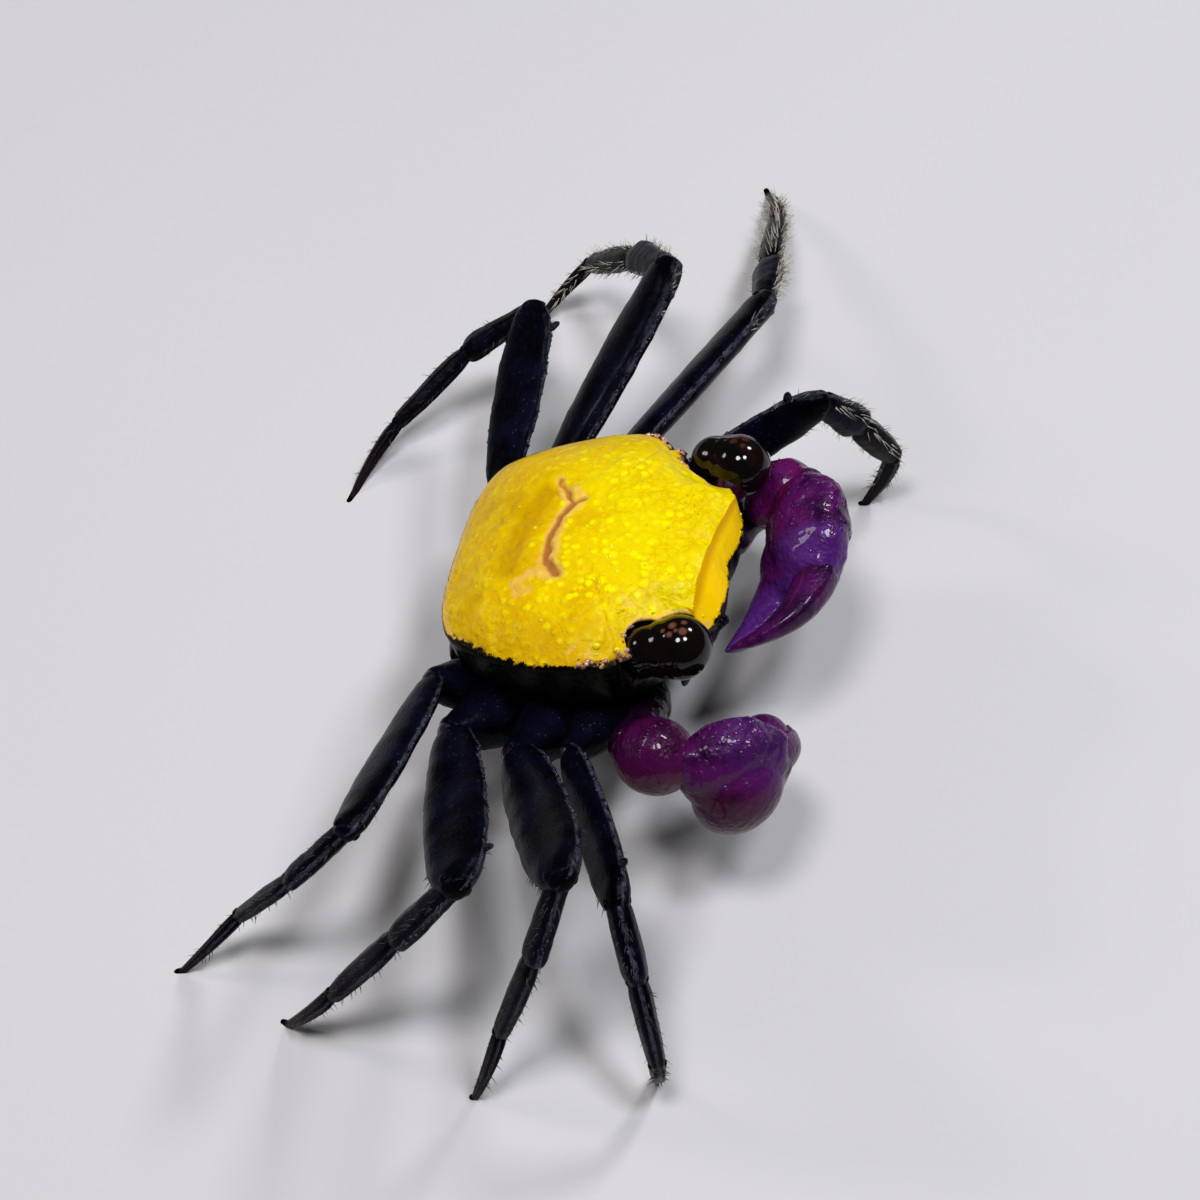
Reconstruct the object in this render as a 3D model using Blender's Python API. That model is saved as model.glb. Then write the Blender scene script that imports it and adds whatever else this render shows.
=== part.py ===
"""A vampire crab at life size, standing with its claws folded before its mouth.

Sizes are in millimetres and become metres where a mesh is made. The trunk is drawn level in its own
frame: x forward, y to the crab's left, z up, with z = 0 at the top of the back. BODY then tilts it
over the floor, which is z = 0 of the finished model. Each limb piece is drawn along its own x axis,
with z towards the outer side of the limb's bends, and is placed by its object's matrix.
"""

import math

import bmesh
import bpy
from mathutils import Euler, Matrix, Vector

MM = 0.001
GAP = 0.3

# The trunk's place over the floor
BACK_HEIGHT = 10.9
NOSE_UP = 8.4
RIGHT_SIDE_UP = 8.4
BODY_X = 0.234
BODY_Y = -4.511

# The back: its outline from the middle of the front round the left side to the middle of the rear,
# as (x, y, z of the rim, how sharply the back rolls over to it)
CARAPACE_CENTRE = Vector((0.6, 0.0))
CARAPACE_OUTLINE = (
    (7.20, 0.0, -1.9, 9.0),
    (7.42, 1.7, -1.9, 9.0),
    (7.15, 3.3, -1.8, 8.0),
    (6.10, 4.75, -1.5, 6.0),
    (4.15, 6.55, -1.0, 5.0),
    (3.60, 6.72, -1.15, 4.0),
    (3.05, 7.12, -1.1, 4.0),
    (1.10, 7.38, -1.3, 3.8),
    (-0.90, 7.02, -1.5, 3.6),
    (-2.80, 6.35, -1.65, 3.4),
    (-4.25, 5.30, -1.75, 3.2),
    (-4.95, 3.30, -1.8, 3.0),
    (-5.10, 0.0, -1.8, 3.0),
)
# How far the back stands above the trunk's zero
CARAPACE_LIFT = 0.6
CARAPACE_RINGS = (0.16, 0.32, 0.48, 0.63, 0.77, 0.88, 0.95, 1.0)
CARAPACE_SIDES = 56
CARAPACE_FLOOR = -4.4
# The side walls under the rim: share of the way down, and how far they draw in
CARAPACE_WALL = ((0.25, 0.02), (0.62, 0.35), (1.0, 1.2))
FRONT_LOBES = (0.95, 2.55)
LOBE_RISE = 0.16
GROOVE_DEPTH = 0.22
GROOVE_HALF_WIDTH = 0.55

# Each eye is a cornea with an outer lobe behind it; the left one is swung forward and up
EYES = {
    1: (Vector((6.75, 5.85, -0.95)), Vector((5.6, 6.2, -1.0))),
    -1: (Vector((6.1, -5.3, -1.3)), Vector((4.75, -5.55, -1.35))),
}
EYE_RADIUS = 1.25
EYE_LOBE_RADIUS = 0.98
EYE_STALK_ROOT = Vector((6.1, 3.4, -1.85))
EYE_STALK_RADIUS = 0.55

THORAX_TOP = CARAPACE_FLOOR - GAP
# The breast under the shell: (z, half width, rear x, front x)
THORAX_LEVELS = (
    (THORAX_TOP, 5.4, -4.8, 4.7),
    (-5.8, 4.9, -4.6, 4.5),
    (-6.8, 4.0, -4.2, 4.1),
    (-7.4, 2.9, -3.4, 3.4),
)
THORAX_SIDES = 28

# The folded tail: (x, z, half width) down the rear and forward under the breast
ABDOMEN_PATH = (
    (-5.35, -4.85, 2.5),
    (-5.55, -5.7, 2.6),
    (-5.15, -6.8, 2.5),
    (-4.1, -7.75, 2.3),
    (-2.5, -8.05, 1.9),
    (-0.7, -8.1, 1.5),
    (1.0, -8.05, 0.95),
    (2.1, -7.95, 0.4),
)
ABDOMEN_HALF_THICKNESS = 0.3
ABDOMEN_STEP = 0.07

# Sections of the mouth plates and the feelers, as those of the limb pieces below
MAXILLIPED = ((0.0, 0.42, 0.3, 0.8), (0.25, 0.45, 0.3, 0.98), (0.6, 0.42, 0.3, 0.95), (1.0, 0.25, 0.2, 0.7))
MAXILLIPED_TOP = Vector((5.45, 1.1, -4.85))
MAXILLIPED_FOOT = Vector((4.75, 1.0, -7.55))

ANTENNA = (
    (0.0, 0.36, 0.36, 0.36),
    (0.25, 0.33, 0.33, 0.33),
    (0.4, 0.27, 0.27, 0.27),
    (1.0, 0.16, 0.16, 0.16),
)
ANTENNA_BOW = 0.2
ANTENNA_ROOT = Vector((7.5, 2.3, -2.4))
ANTENNA_TIP = Vector((7.75, 4.45, -2.5))

SIDES = {"left": 1, "right": -1}

# Walking legs from the second pair back: where each hip sits on the breast (left side), the lengths
# of thigh, shin, foot and claw, and the greatest heights of the thigh and of the shin
LEG_NAMES = ("leg2", "leg3", "leg4", "leg5")
LEG_HIPS = ((2.7, 4.3, -5.9), (0.75, 4.4, -5.9), (-1.25, 4.4, -5.9), (-3.15, 4.0, -5.8))
LEG_LENGTHS = (
    (9.0, 3.4, 4.2, 3.9),
    (11.5, 4.5, 5.3, 4.7),
    (11.2, 4.6, 5.4, 4.5),
    (9.7, 4.1, 4.9, 4.3),
)
LEG_HEIGHTS = ((2.5, 1.8), (3.1, 1.7), (3.1, 1.7), (2.6, 1.5))
# Where the thigh leaves the hip, for each leg as on the left side
LEG_ROOTS = {
    ("leg2", "right"): (1.4, 8.6, -4.8),
    ("leg3", "right"): (-0.9, 9.1, -4.7),
    ("leg4", "right"): (-3.9, 8.4, -4.2),
    ("leg5", "right"): (-5.1, 6.2, -3.3),
    ("leg2", "left"): (2.1, 7.6, -5.0),
    ("leg3", "left"): (-0.1, 9.1, -4.3),
    ("leg4", "left"): (-3.2, 8.7, -4.8),
    ("leg5", "left"): (-5.2, 6.7, -3.8),
}
# The pose of each leg, in degrees: heading from straight ahead, rise of the thigh, turn of the
# bending plane towards the rear, the bends at the knee, at the shin's end and, roughly, at the
# foot's end, and the twist of the thigh's flat faces about its own axis
LEG_POSES = {
    ("leg2", "right"): (65, 1, 0, 57, 14, 37, -30),
    ("leg3", "right"): (64, 20, 25, 106, 10, -3, -28),
    ("leg4", "right"): (73, 13, 43, 108, 2, 5, -22),
    ("leg5", "right"): (97, 6, 44, 80, 18, 2, -11),
    ("leg2", "left"): (19, 27, 19, 86, 6, 44, -14),
    ("leg3", "left"): (62, 8, 57, 42, -1, 30, -10),
    ("leg4", "left"): (59, 34, 56, 89, 11, 55, 7),
    ("leg5", "left"): (90, 18, 62, 108, 20, 27, 10),
}

# Sections along a limb piece: share of its length, half height on the outer side of the bends, half
# height on the inner side, half thickness, all as shares of half the greatest height
HIP = ((0.0, 0.62, 0.62, 0.60), (0.35, 0.70, 0.68, 0.62), (0.7, 0.60, 0.58, 0.50), (1.0, 0.48, 0.44, 0.36))
THIGH = (
    (0.0, 0.40, 0.36, 0.34),
    (0.07, 0.66, 0.58, 0.40),
    (0.22, 0.88, 0.78, 0.42),
    (0.50, 1.04, 0.94, 0.43),
    (0.74, 1.04, 0.94, 0.42),
    (0.90, 0.90, 0.80, 0.40),
    (0.98, 0.70, 0.60, 0.36),
    (1.03, 0.40, 0.34, 0.28),
)
SHIN = (
    (0.0, 0.66, 0.58, 0.52),
    (0.16, 0.80, 0.66, 0.60),
    (0.5, 0.94, 0.76, 0.63),
    (0.85, 1.08, 0.90, 0.64),
    (0.97, 0.96, 0.80, 0.58),
    (1.03, 0.58, 0.50, 0.44),
)
FOOT = (
    (0.0, 0.56, 0.50, 0.45),
    (0.18, 0.80, 0.70, 0.52),
    (0.5, 0.84, 0.72, 0.52),
    (0.85, 0.72, 0.60, 0.46),
    (0.97, 0.62, 0.52, 0.42),
    (1.03, 0.38, 0.35, 0.32),
)
CLAW = (
    (0.0, 0.38, 0.38, 0.35),
    (0.14, 0.50, 0.45, 0.40),
    (0.45, 0.42, 0.38, 0.35),
    (0.78, 0.30, 0.27, 0.26),
    (1.06, 0.16, 0.16, 0.16),
)
CLAW_BOW = 0.22
LIMB_SIDES = 10
KEEL = 0.82
END_CROWN = 0.08
TIP_DEPTH = 0.12
SPUR_LENGTH = 0.6
SPUR_PLACE = 0.86

# The claws: joints of each arm in the trunk's frame, and the way the back of each hand faces
CHELIPED_HIP = Vector((3.3, 3.1, -6.55))
CHELIPEDS = {
    "left": {
        "root": Vector((5.0, 4.9, -6.0)),
        "elbow": Vector((6.5, 8.0, -5.6)),
        "wrist": Vector((9.3, 7.1, -3.1)),
        "knuckle": Vector((9.9, 1.9, -4.7)),
        "tip": Vector((7.2, -1.8, -4.9)),
        "hand_back": Vector((0.62, 0.0, 0.78)),
    },
    "right": {
        "root": Vector((4.3, -5.1, -5.7)),
        "elbow": Vector((4.0, -8.6, -4.4)),
        "wrist": Vector((6.7, -9.3, -4.3)),
        "knuckle": Vector((9.6, -7.5, -6.7)),
        "tip": Vector((8.1, -3.9, -7.7)),
        "hand_back": Vector((0.35, 0.1, 0.93)),
    },
}
COXA = ((0.0, 1.0, 1.0, 1.0), (0.4, 1.15, 1.1, 1.1), (1.0, 0.8, 0.8, 0.75))
ARM = (
    (0.0, 0.75, 0.75, 0.70),
    (0.20, 0.95, 0.95, 0.88),
    (0.65, 1.05, 1.0, 0.95),
    (0.95, 1.0, 0.95, 0.92),
    (1.06, 0.6, 0.6, 0.6),
)
WRIST = (
    (0.0, 0.8, 0.8, 0.8),
    (0.20, 1.35, 1.25, 1.3),
    (0.60, 1.62, 1.48, 1.52),
    (0.90, 1.3, 1.2, 1.2),
    (1.04, 0.75, 0.7, 0.7),
)
PALM = (
    (-0.02, 0.95, 0.75, 0.75),
    (0.08, 1.80, 1.20, 1.15),
    (0.30, 2.60, 1.80, 1.50),
    (0.62, 2.75, 2.40, 1.60),
    (0.88, 2.40, 2.50, 1.45),
    (1.04, 1.70, 2.15, 1.10),
)
FIXED_FINGER_RADIUS = 1.30
MOVING_FINGER_RADIUS = 1.02
FINGER_STEPS = 7
TOOTH_HEIGHT = 0.28
GRAIN_RADIUS = 0.17
TEETH = 4
GRAINS = 7

PITCH = Euler((0.0, math.radians(-NOSE_UP), 0.0)).to_matrix().to_4x4()
ROLL = Euler((math.radians(-RIGHT_SIDE_UP), 0.0, 0.0)).to_matrix().to_4x4()
BODY = Matrix.Translation((BODY_X, BODY_Y, BACK_HEIGHT)) @ PITCH @ ROLL

COLOURS = {
    "shell": ((0.95, 0.66, 0.0), 0.38),
    "dark": ((0.012, 0.010, 0.022), 0.25),
    "claw": ((0.16, 0.012, 0.14), 0.22),
    "eye": ((0.03, 0.012, 0.008), 0.08),
}


def clear_scene():
    for old in list(bpy.data.objects):
        bpy.data.objects.remove(old, do_unlink=True)


def material(name, finish):
    colour, roughness = COLOURS[finish]
    made = bpy.data.materials.new(name)
    made.use_nodes = True
    shader = made.node_tree.nodes["Principled BSDF"]
    shader.inputs["Base Color"].default_value = (*colour, 1.0)
    shader.inputs["Roughness"].default_value = roughness
    shader.inputs["Metallic"].default_value = 0.0
    return made


def mesh_object(name, bm, frame, finish):
    """An object for a mesh drawn in millimetres, placed by a frame in millimetres."""
    bmesh.ops.recalc_face_normals(bm, faces=bm.faces)
    bmesh.ops.scale(bm, vec=(MM, MM, MM), verts=bm.verts)
    mesh = bpy.data.meshes.new(name)
    bm.to_mesh(mesh)
    bm.free()
    mesh.shade_smooth()
    mesh.set_sharp_from_angle(angle=math.radians(50))
    made = bpy.data.objects.new(name, mesh)
    made.matrix_world = Matrix.Translation(frame.translation * MM) @ frame.to_3x3().to_4x4()
    made.data.materials.append(material(name, finish))
    bpy.data.collections["vampire_crab"].objects.link(made)
    return made


def loft(rings, first_pole, last_pole):
    """A closed surface over rings of as many points each, ended by a pole at either end."""
    bm = bmesh.new()
    loops = [[bm.verts.new(point) for point in ring] for ring in rings]
    count = len(loops[0])
    for lower, upper in zip(loops, loops[1:]):
        for i in range(count):
            j = (i + 1) % count
            bm.faces.new((lower[i], lower[j], upper[j], upper[i]))
    for loop, pole in ((loops[0], first_pole), (loops[-1], last_pole)):
        end = bm.verts.new(pole)
        for i in range(count):
            bm.faces.new((loop[i], loop[(i + 1) % count], end))
    bmesh.ops.triangulate(bm, faces=bm.faces)
    return bm


def section(at, outer, inner, side, sides=LIMB_SIDES):
    """A ring about the x axis: an ellipse with a keel along its outer and its inner edge."""
    ring = []
    for i in range(sides):
        angle = math.tau * (i + 0.5 * (sides % 4 == 0)) / sides + math.pi / 2
        c, s = math.cos(angle), math.sin(angle)
        height = outer if s > 0 else inner
        ring.append(Vector((0, side * math.copysign(abs(c) ** KEEL, c), height * s)) + at)
    return ring


def limb(length, stations, scale=1.0, grow=0.0, bow=0.0):
    """A limb piece along x from its sections, with each half size times the scale."""
    rings = []
    for share, outer, inner, side in stations:
        lift = bow * 4 * share * (1 - share)
        out = grow * ((share == stations[-1][0]) - (share == stations[0][0]))
        at = Vector((share * length + out, 0, lift))
        rings.append(section(at, outer * scale + grow, inner * scale + grow, side * scale + grow))
    first = Vector((stations[0][0] * length - END_CROWN - grow, 0, 0))
    last = Vector((stations[-1][0] * length + END_CROWN + grow, 0, 0))
    return loft(rings, first, last)


def frame_along(start, end, outer):
    """The frame at start with x towards end and z as near outer as it can be."""
    x = (end - start).normalized()
    y = outer.cross(x).normalized()
    z = x.cross(y)
    rotation = Matrix((x, y, z)).transposed()
    return Matrix.Translation(start) @ rotation.to_4x4()


def solid_only(obj):
    """Keeps an object's largest closed surface, after its modifiers are made real."""
    graph = bpy.context.evaluated_depsgraph_get()
    mesh = bpy.data.meshes.new_from_object(obj.evaluated_get(graph))
    obj.modifiers.clear()
    old = obj.data
    obj.data = mesh
    bpy.data.meshes.remove(old)
    bm = bmesh.new()
    bm.from_mesh(mesh)
    bmesh.ops.remove_doubles(bm, verts=bm.verts, dist=2e-7)
    bmesh.ops.triangulate(bm, faces=bm.faces)
    left = set(bm.verts)
    groups = []
    while left:
        stack = [left.pop()]
        group = set(stack)
        while stack:
            for edge in stack.pop().link_edges:
                for vert in edge.verts:
                    if vert in left:
                        left.remove(vert)
                        group.add(vert)
                        stack.append(vert)
        groups.append(group)
    groups.sort(key=lambda group: spread(group))
    loose = [vert for group in groups[:-1] for vert in group]
    bmesh.ops.delete(bm, geom=loose, context="VERTS")
    bm.to_mesh(mesh)
    bm.free()


def spread(verts):
    """The diagonal of a group of points' box, which ranks closed surfaces by size."""
    lows = [min(vert.co[axis] for vert in verts) for axis in range(3)]
    highs = [max(vert.co[axis] for vert in verts) for axis in range(3)]
    return math.dist(lows, highs)


def join_all(obj, others, operation, solver="EXACT"):
    """One Boolean of an object with a collection of others, which are then removed."""
    group = bpy.data.collections.new("cutters")
    bpy.context.scene.collection.children.link(group)
    for other in others:
        bpy.data.collections["vampire_crab"].objects.unlink(other)
        group.objects.link(other)
    bpy.context.view_layer.update()
    step = obj.modifiers.new(operation.title(), "BOOLEAN")
    step.operation = operation
    step.solver = solver
    step.operand_type = "COLLECTION"
    step.collection = group
    solid_only(obj)
    for other in others:
        bpy.data.objects.remove(other, do_unlink=True)
    bpy.data.collections.remove(group)


def outline_points(sides, grow=0.0):
    """Points round the back, each as (x, y, rim z, roll), read from a smooth curve through the outline."""
    left = [Vector(row) for row in CARAPACE_OUTLINE]
    right = [Vector((x, -y, z, roll)) for x, y, z, roll in CARAPACE_OUTLINE[-2:0:-1]]
    knots = left + right
    count = len(knots)
    lengths = [(knots[(i + 1) % count] - knots[i]).to_2d().length for i in range(count)]
    total = sum(lengths)
    points = []
    for k in range(sides):
        way = total * k / sides
        i = 0
        while way > lengths[i]:
            way -= lengths[i]
            i += 1
        t = way / lengths[i]
        a, b, c, d = (knots[(i + shift) % count] for shift in (-1, 0, 1, 2))
        bends = (2 * a - 5 * b + 4 * c - d) * t ** 2 + (3 * b - a - 3 * c + d) * t ** 3
        point = 0.5 * (2 * b + (c - a) * t + bends)
        out = (point.to_2d() - CARAPACE_CENTRE).normalized() * grow
        points.append((point[0] + out.x, point[1] + out.y, point[2], point[3]))
    return points


def relief(x, y):
    """The height that the lobes behind the front and the H-shaped groove add to the back."""
    rise = 0.0
    for lobe in FRONT_LOBES:
        rise += LOBE_RISE * math.exp(-((abs(y) - lobe) / 0.6) ** 2 - ((x - 6.1) / 0.6) ** 2)
    bar = math.exp(-((x + 0.5) / GROOVE_HALF_WIDTH) ** 2) * math.exp(-(y / 1.9) ** 4)
    arms = math.exp(-((abs(y) - 1.9) / GROOVE_HALF_WIDTH) ** 2) * math.exp(-((x + 0.6) / 1.6) ** 4)
    return rise - GROOVE_DEPTH * max(bar, arms)


def carapace_mesh(grow=0.0):
    outline = outline_points(CARAPACE_SIDES, grow)
    rings = []
    for share in CARAPACE_RINGS:
        ring = []
        for x, y, rim, roll in outline:
            flat = CARAPACE_CENTRE + (Vector((x, y)) - CARAPACE_CENTRE) * share
            height = rim * (0.22 * share ** 2 + 0.78 * share ** roll)
            rise = CARAPACE_LIFT + relief(flat.x, flat.y) + grow
            ring.append(Vector((flat.x, flat.y, height + rise)))
        rings.append(ring)
    floor = CARAPACE_FLOOR - grow
    for share, drawn in CARAPACE_WALL:
        ring = []
        for x, y, rim, _ in outline:
            arm = Vector((x, y)) - CARAPACE_CENTRE
            flat = CARAPACE_CENTRE + arm * (1 - drawn / arm.length)
            edge = rim + CARAPACE_LIFT
            ring.append(Vector((flat.x, flat.y, edge + (floor - edge) * share)))
        rings.append(ring)
    top = Vector((*CARAPACE_CENTRE, CARAPACE_LIFT + relief(*CARAPACE_CENTRE) + grow))
    return loft(rings, top, Vector((CARAPACE_CENTRE.x, CARAPACE_CENTRE.y, floor)))


def ball(radius, centre, scale=(1, 1, 1), segments=20, rings=12):
    bm = bmesh.new()
    bmesh.ops.create_uvsphere(bm, u_segments=segments, v_segments=rings, radius=radius)
    bmesh.ops.scale(bm, vec=scale, verts=bm.verts)
    bmesh.ops.translate(bm, vec=centre, verts=bm.verts)
    bmesh.ops.triangulate(bm, faces=bm.faces)
    return bm


def spike(root, tip, radius, sides=5, tip_radius=0.0):
    """A cone from root to tip, for teeth, grains and spurs."""
    bm = bmesh.new()
    length = (tip - root).length
    bmesh.ops.create_cone(
        bm, cap_ends=True, segments=sides, radius1=radius, radius2=max(tip_radius, 0.02), depth=length
    )
    turn = (tip - root).to_track_quat("Z", "Y").to_matrix().to_4x4()
    bmesh.ops.transform(bm, matrix=Matrix.Translation((root + tip) / 2) @ turn, verts=bm.verts)
    bmesh.ops.triangulate(bm, faces=bm.faces)
    return bm


def mirrored(vector, side):
    return Vector((vector.x, vector.y * side, vector.z))


def eye(name, side, grow=0.0):
    centre, outer = EYES[side]
    root = mirrored(EYE_STALK_ROOT, side)
    globe = mesh_object(name, ball(EYE_RADIUS + grow, centre, segments=16, rings=10), BODY, "eye")
    radius = EYE_STALK_RADIUS + grow
    stalk = mesh_object(name + "_stalk", spike(root, centre, radius, 10, radius), BODY, "eye")
    lobe = mesh_object(name + "_lobe", ball(EYE_LOBE_RADIUS + grow, outer, segments=14, rings=8), BODY, "eye")
    join_all(globe, [lobe, stalk], "UNION")
    return globe


def thorax_mesh(grow=0.0):
    rings = []
    for index, (z, half_width, rear, front) in enumerate(THORAX_LEVELS):
        last = index in (0, len(THORAX_LEVELS) - 1)
        middle, reach = (front + rear) / 2, (front - rear) / 2 + grow
        ring = []
        for i in range(THORAX_SIDES):
            angle = math.tau * i / THORAX_SIDES
            c, s = math.cos(angle), math.sin(angle)
            x = middle + reach * math.copysign(abs(c) ** 0.7, c)
            y = (half_width + grow) * math.copysign(abs(s) ** 0.7, s)
            ring.append(Vector((x, y, z + (grow if index == 0 else -grow) * last)))
        rings.append(ring)
    top = Vector((0, 0, THORAX_LEVELS[0][0] + grow))
    return loft(rings, top, Vector((0, 0, THORAX_LEVELS[-1][0] - 0.05 - grow)))


def abdomen_mesh():
    """A strip along its path, with a low step at the rear edge of each plate."""
    rings = []
    points = [Vector((x, 0, z)) for x, z, _ in ABDOMEN_PATH]
    for index, (at, row) in enumerate(zip(points, ABDOMEN_PATH)):
        before = points[max(index - 1, 0)]
        after = points[min(index + 1, len(points) - 1)]
        along = (after - before).normalized()
        out = Vector((along.z, 0, -along.x))
        half = row[2]
        for shift, step in ((-0.12, ABDOMEN_STEP), (0.12, 0.0)):
            thick = ABDOMEN_HALF_THICKNESS + step
            centre = at + along * shift
            edge = ABDOMEN_HALF_THICKNESS * 0.6
            rings.append(
                [
                    centre + out * height + Vector((0, y, 0))
                    for y, height in (
                        (half, 0.0),
                        (half * 0.8, thick * 0.8),
                        (0.0, thick),
                        (-half * 0.8, thick * 0.8),
                        (-half, 0.0),
                        (-half * 0.8, -edge),
                        (0.0, -edge),
                        (half * 0.8, -edge),
                    )
                ]
            )
    first, last = (sum(ring, Vector()) / len(ring) for ring in (rings[0], rings[-1]))
    return loft(rings, first, last)


def build_trunk():
    carapace = mesh_object("carapace", carapace_mesh(), BODY, "shell")
    join_all(carapace, [eye("socket_" + name, side, GAP) for name, side in SIDES.items()], "DIFFERENCE")
    for name, side in SIDES.items():
        eye("eye_" + name, side)
    mesh_object("thorax", thorax_mesh(), BODY, "dark")
    abdomen = mesh_object("abdomen", abdomen_mesh(), BODY, "dark")
    join_all(abdomen, grown_trunk(), "DIFFERENCE")
    for name, side in SIDES.items():
        top, foot = mirrored(MAXILLIPED_TOP, side), mirrored(MAXILLIPED_FOOT, side)
        frame = BODY @ frame_along(top, foot, Vector((1, 0, 0.3)))
        mouthpart = mesh_object("maxilliped_" + name, limb((foot - top).length, MAXILLIPED), frame, "dark")
        join_all(mouthpart, grown_trunk(), "DIFFERENCE")
        root, tip = mirrored(ANTENNA_ROOT, side), mirrored(ANTENNA_TIP, side)
        frame = BODY @ frame_along(root, tip, Vector((0, 0, 1)))
        bm = limb((tip - root).length, ANTENNA, bow=ANTENNA_BOW)
        feeler = mesh_object("antenna_" + name, bm, frame, "dark")
        join_all(feeler, grown_trunk(), "DIFFERENCE")


def grown_trunk():
    """The breast and the shell, larger all round by the gap, to cut clear whatever meets them."""
    return [
        mesh_object("grown_thorax", thorax_mesh(GAP), BODY, "dark"),
        mesh_object("grown_carapace", carapace_mesh(GAP), BODY, "dark"),
    ]


class LegPose:
    """The joints of one leg over the floor, and the direction each of its pieces takes."""

    def __init__(self, pair, side_name):
        self.side = SIDES[side_name]
        key = (LEG_NAMES[pair], side_name)
        heading, rise, turn, knee, wrist, self.ankle, self.twist = (math.radians(a) for a in LEG_POSES[key])
        thigh, shin, foot, claw = LEG_LENGTHS[pair]
        heading *= self.side
        ahead = Vector(
            (math.cos(rise) * math.cos(heading), math.cos(rise) * math.sin(heading), math.sin(rise))
        )
        down = (Vector((0, 0, -1)) + ahead * math.sin(rise)).normalized()
        rear = ahead.cross(down) * self.side
        turned = down * math.cos(turn) + rear * math.sin(turn)
        rotation = BODY.to_3x3()
        self.ahead, self.inward = rotation @ ahead, rotation @ turned
        self.hip = BODY @ mirrored(Vector(LEG_HIPS[pair]), self.side)
        self.joints = [BODY @ mirrored(Vector(LEG_ROOTS[key]), self.side)]
        self.bends = [0.0, knee, knee + wrist]
        for length, bend in zip((thigh, shin, foot), self.bends):
            self.joints.append(self.joints[-1] + self.direction(bend) * length)
        self.bends.append(self.bend_to_floor(self.joints[-1].z + TIP_DEPTH, claw))
        self.joints.append(self.joints[-1] + self.direction(self.bends[-1]) * claw)

    def direction(self, bend):
        return self.ahead * math.cos(bend) + self.inward * math.sin(bend)

    def outer(self, bend, twist=0.0):
        """The way a piece's outer edge faces, turned about the piece by the twist."""
        along = self.direction(bend)
        out = self.ahead * math.sin(bend) - self.inward * math.cos(bend)
        return out * math.cos(twist) + along.cross(out) * math.sin(twist)

    def bend_to_floor(self, height, length):
        """The total bend at which a piece this long comes down to the floor from this height."""
        steepest = math.atan2(self.inward.z, self.ahead.z)
        reach = math.hypot(self.inward.z, self.ahead.z)
        spare = math.acos(max(-1.0, min(1.0, -height / (length * reach))))
        choices = (steepest + spare, steepest - spare)
        wanted = self.bends[-1] + self.ankle
        return min((c % math.tau for c in choices), key=lambda c: abs(c - wanted))


def cut_at_floor(obj):
    """Gives a claw's tip the small flat that it stands on."""
    to_local = obj.matrix_world.inverted()
    bm = bmesh.new()
    bm.from_mesh(obj.data)
    cut = bmesh.ops.bisect_plane(
        bm,
        geom=bm.verts[:] + bm.edges[:] + bm.faces[:],
        plane_co=to_local.translation,
        plane_no=to_local.to_3x3() @ Vector((0, 0, 1)),
        clear_inner=True,
    )
    rim = [edge for edge in cut["geom_cut"] if isinstance(edge, bmesh.types.BMEdge)]
    bmesh.ops.triangle_fill(bm, edges=rim, use_beauty=True)
    bmesh.ops.recalc_face_normals(bm, faces=bm.faces)
    bm.to_mesh(obj.data)
    bm.free()


def hip_piece(pair, side_name, grow=0.0):
    """The short piece between the breast and the thigh."""
    pose = LegPose(pair, side_name)
    frame = frame_along(pose.hip, pose.joints[0], Vector((0, 0, 1)))
    length = (pose.joints[0] - pose.hip).length
    name = f"{LEG_NAMES[pair]}_{side_name}_base"
    shape = (frame, length, HIP, LEG_HEIGHTS[pair][0] / 2)
    return mesh_object(name if grow == 0.0 else "grown_hip", limb(*shape[1:], grow), frame, "dark"), shape


def build_leg(pair, side_name):
    pose = LegPose(pair, side_name)
    name = f"{LEG_NAMES[pair]}_{side_name}"
    hip, before = hip_piece(pair, side_name)
    cutters = grown_trunk()
    if pair:
        cutters.append(hip_piece(pair - 1, side_name, GAP)[0])
    else:
        cutters.append(cheliped_base(side_name, GAP)[0])
    join_all(hip, cutters, "DIFFERENCE")
    before = (*before, 0.0)
    thigh_half, shin_half = (height / 2 for height in LEG_HEIGHTS[pair])
    pieces = (
        ("merus", THIGH, thigh_half, 0.0),
        ("carpus", SHIN, shin_half, 0.0),
        ("propodus", FOOT, shin_half, 0.0),
        ("dactyl", CLAW, shin_half, CLAW_BOW),
    )
    for index, (piece, stations, half, bow) in enumerate(pieces):
        start, end = pose.joints[index], pose.joints[index + 1]
        twist = pose.twist if piece == "merus" else 0.0
        frame = frame_along(start, end, pose.outer(pose.bends[index], twist))
        length = (end - start).length
        made = mesh_object(f"{name}_{piece}", limb(length, stations, half, bow=bow), frame, "dark")
        if piece == "merus":
            add_spur(made, frame, length, half)
        earlier_frame, earlier_length, earlier_stations, earlier_half, earlier_bow = before
        grown = limb(earlier_length, earlier_stations, earlier_half, GAP, earlier_bow)
        join_all(made, [mesh_object("grown", grown, earlier_frame, "dark")], "DIFFERENCE")
        if piece == "dactyl":
            cut_at_floor(made)
        before = (frame, length, stations, half, bow)


def add_spur(thigh, frame, length, half):
    """The tooth near the far end of the thigh's outer edge."""
    root = Vector((SPUR_PLACE * length, 0, 0.62 * half))
    tip = root + Vector((SPUR_LENGTH, 0, 0.32 * half + SPUR_LENGTH))
    join_all(thigh, [mesh_object("spur", spike(root, tip, 0.3), frame, "dark")], "UNION")


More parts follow.
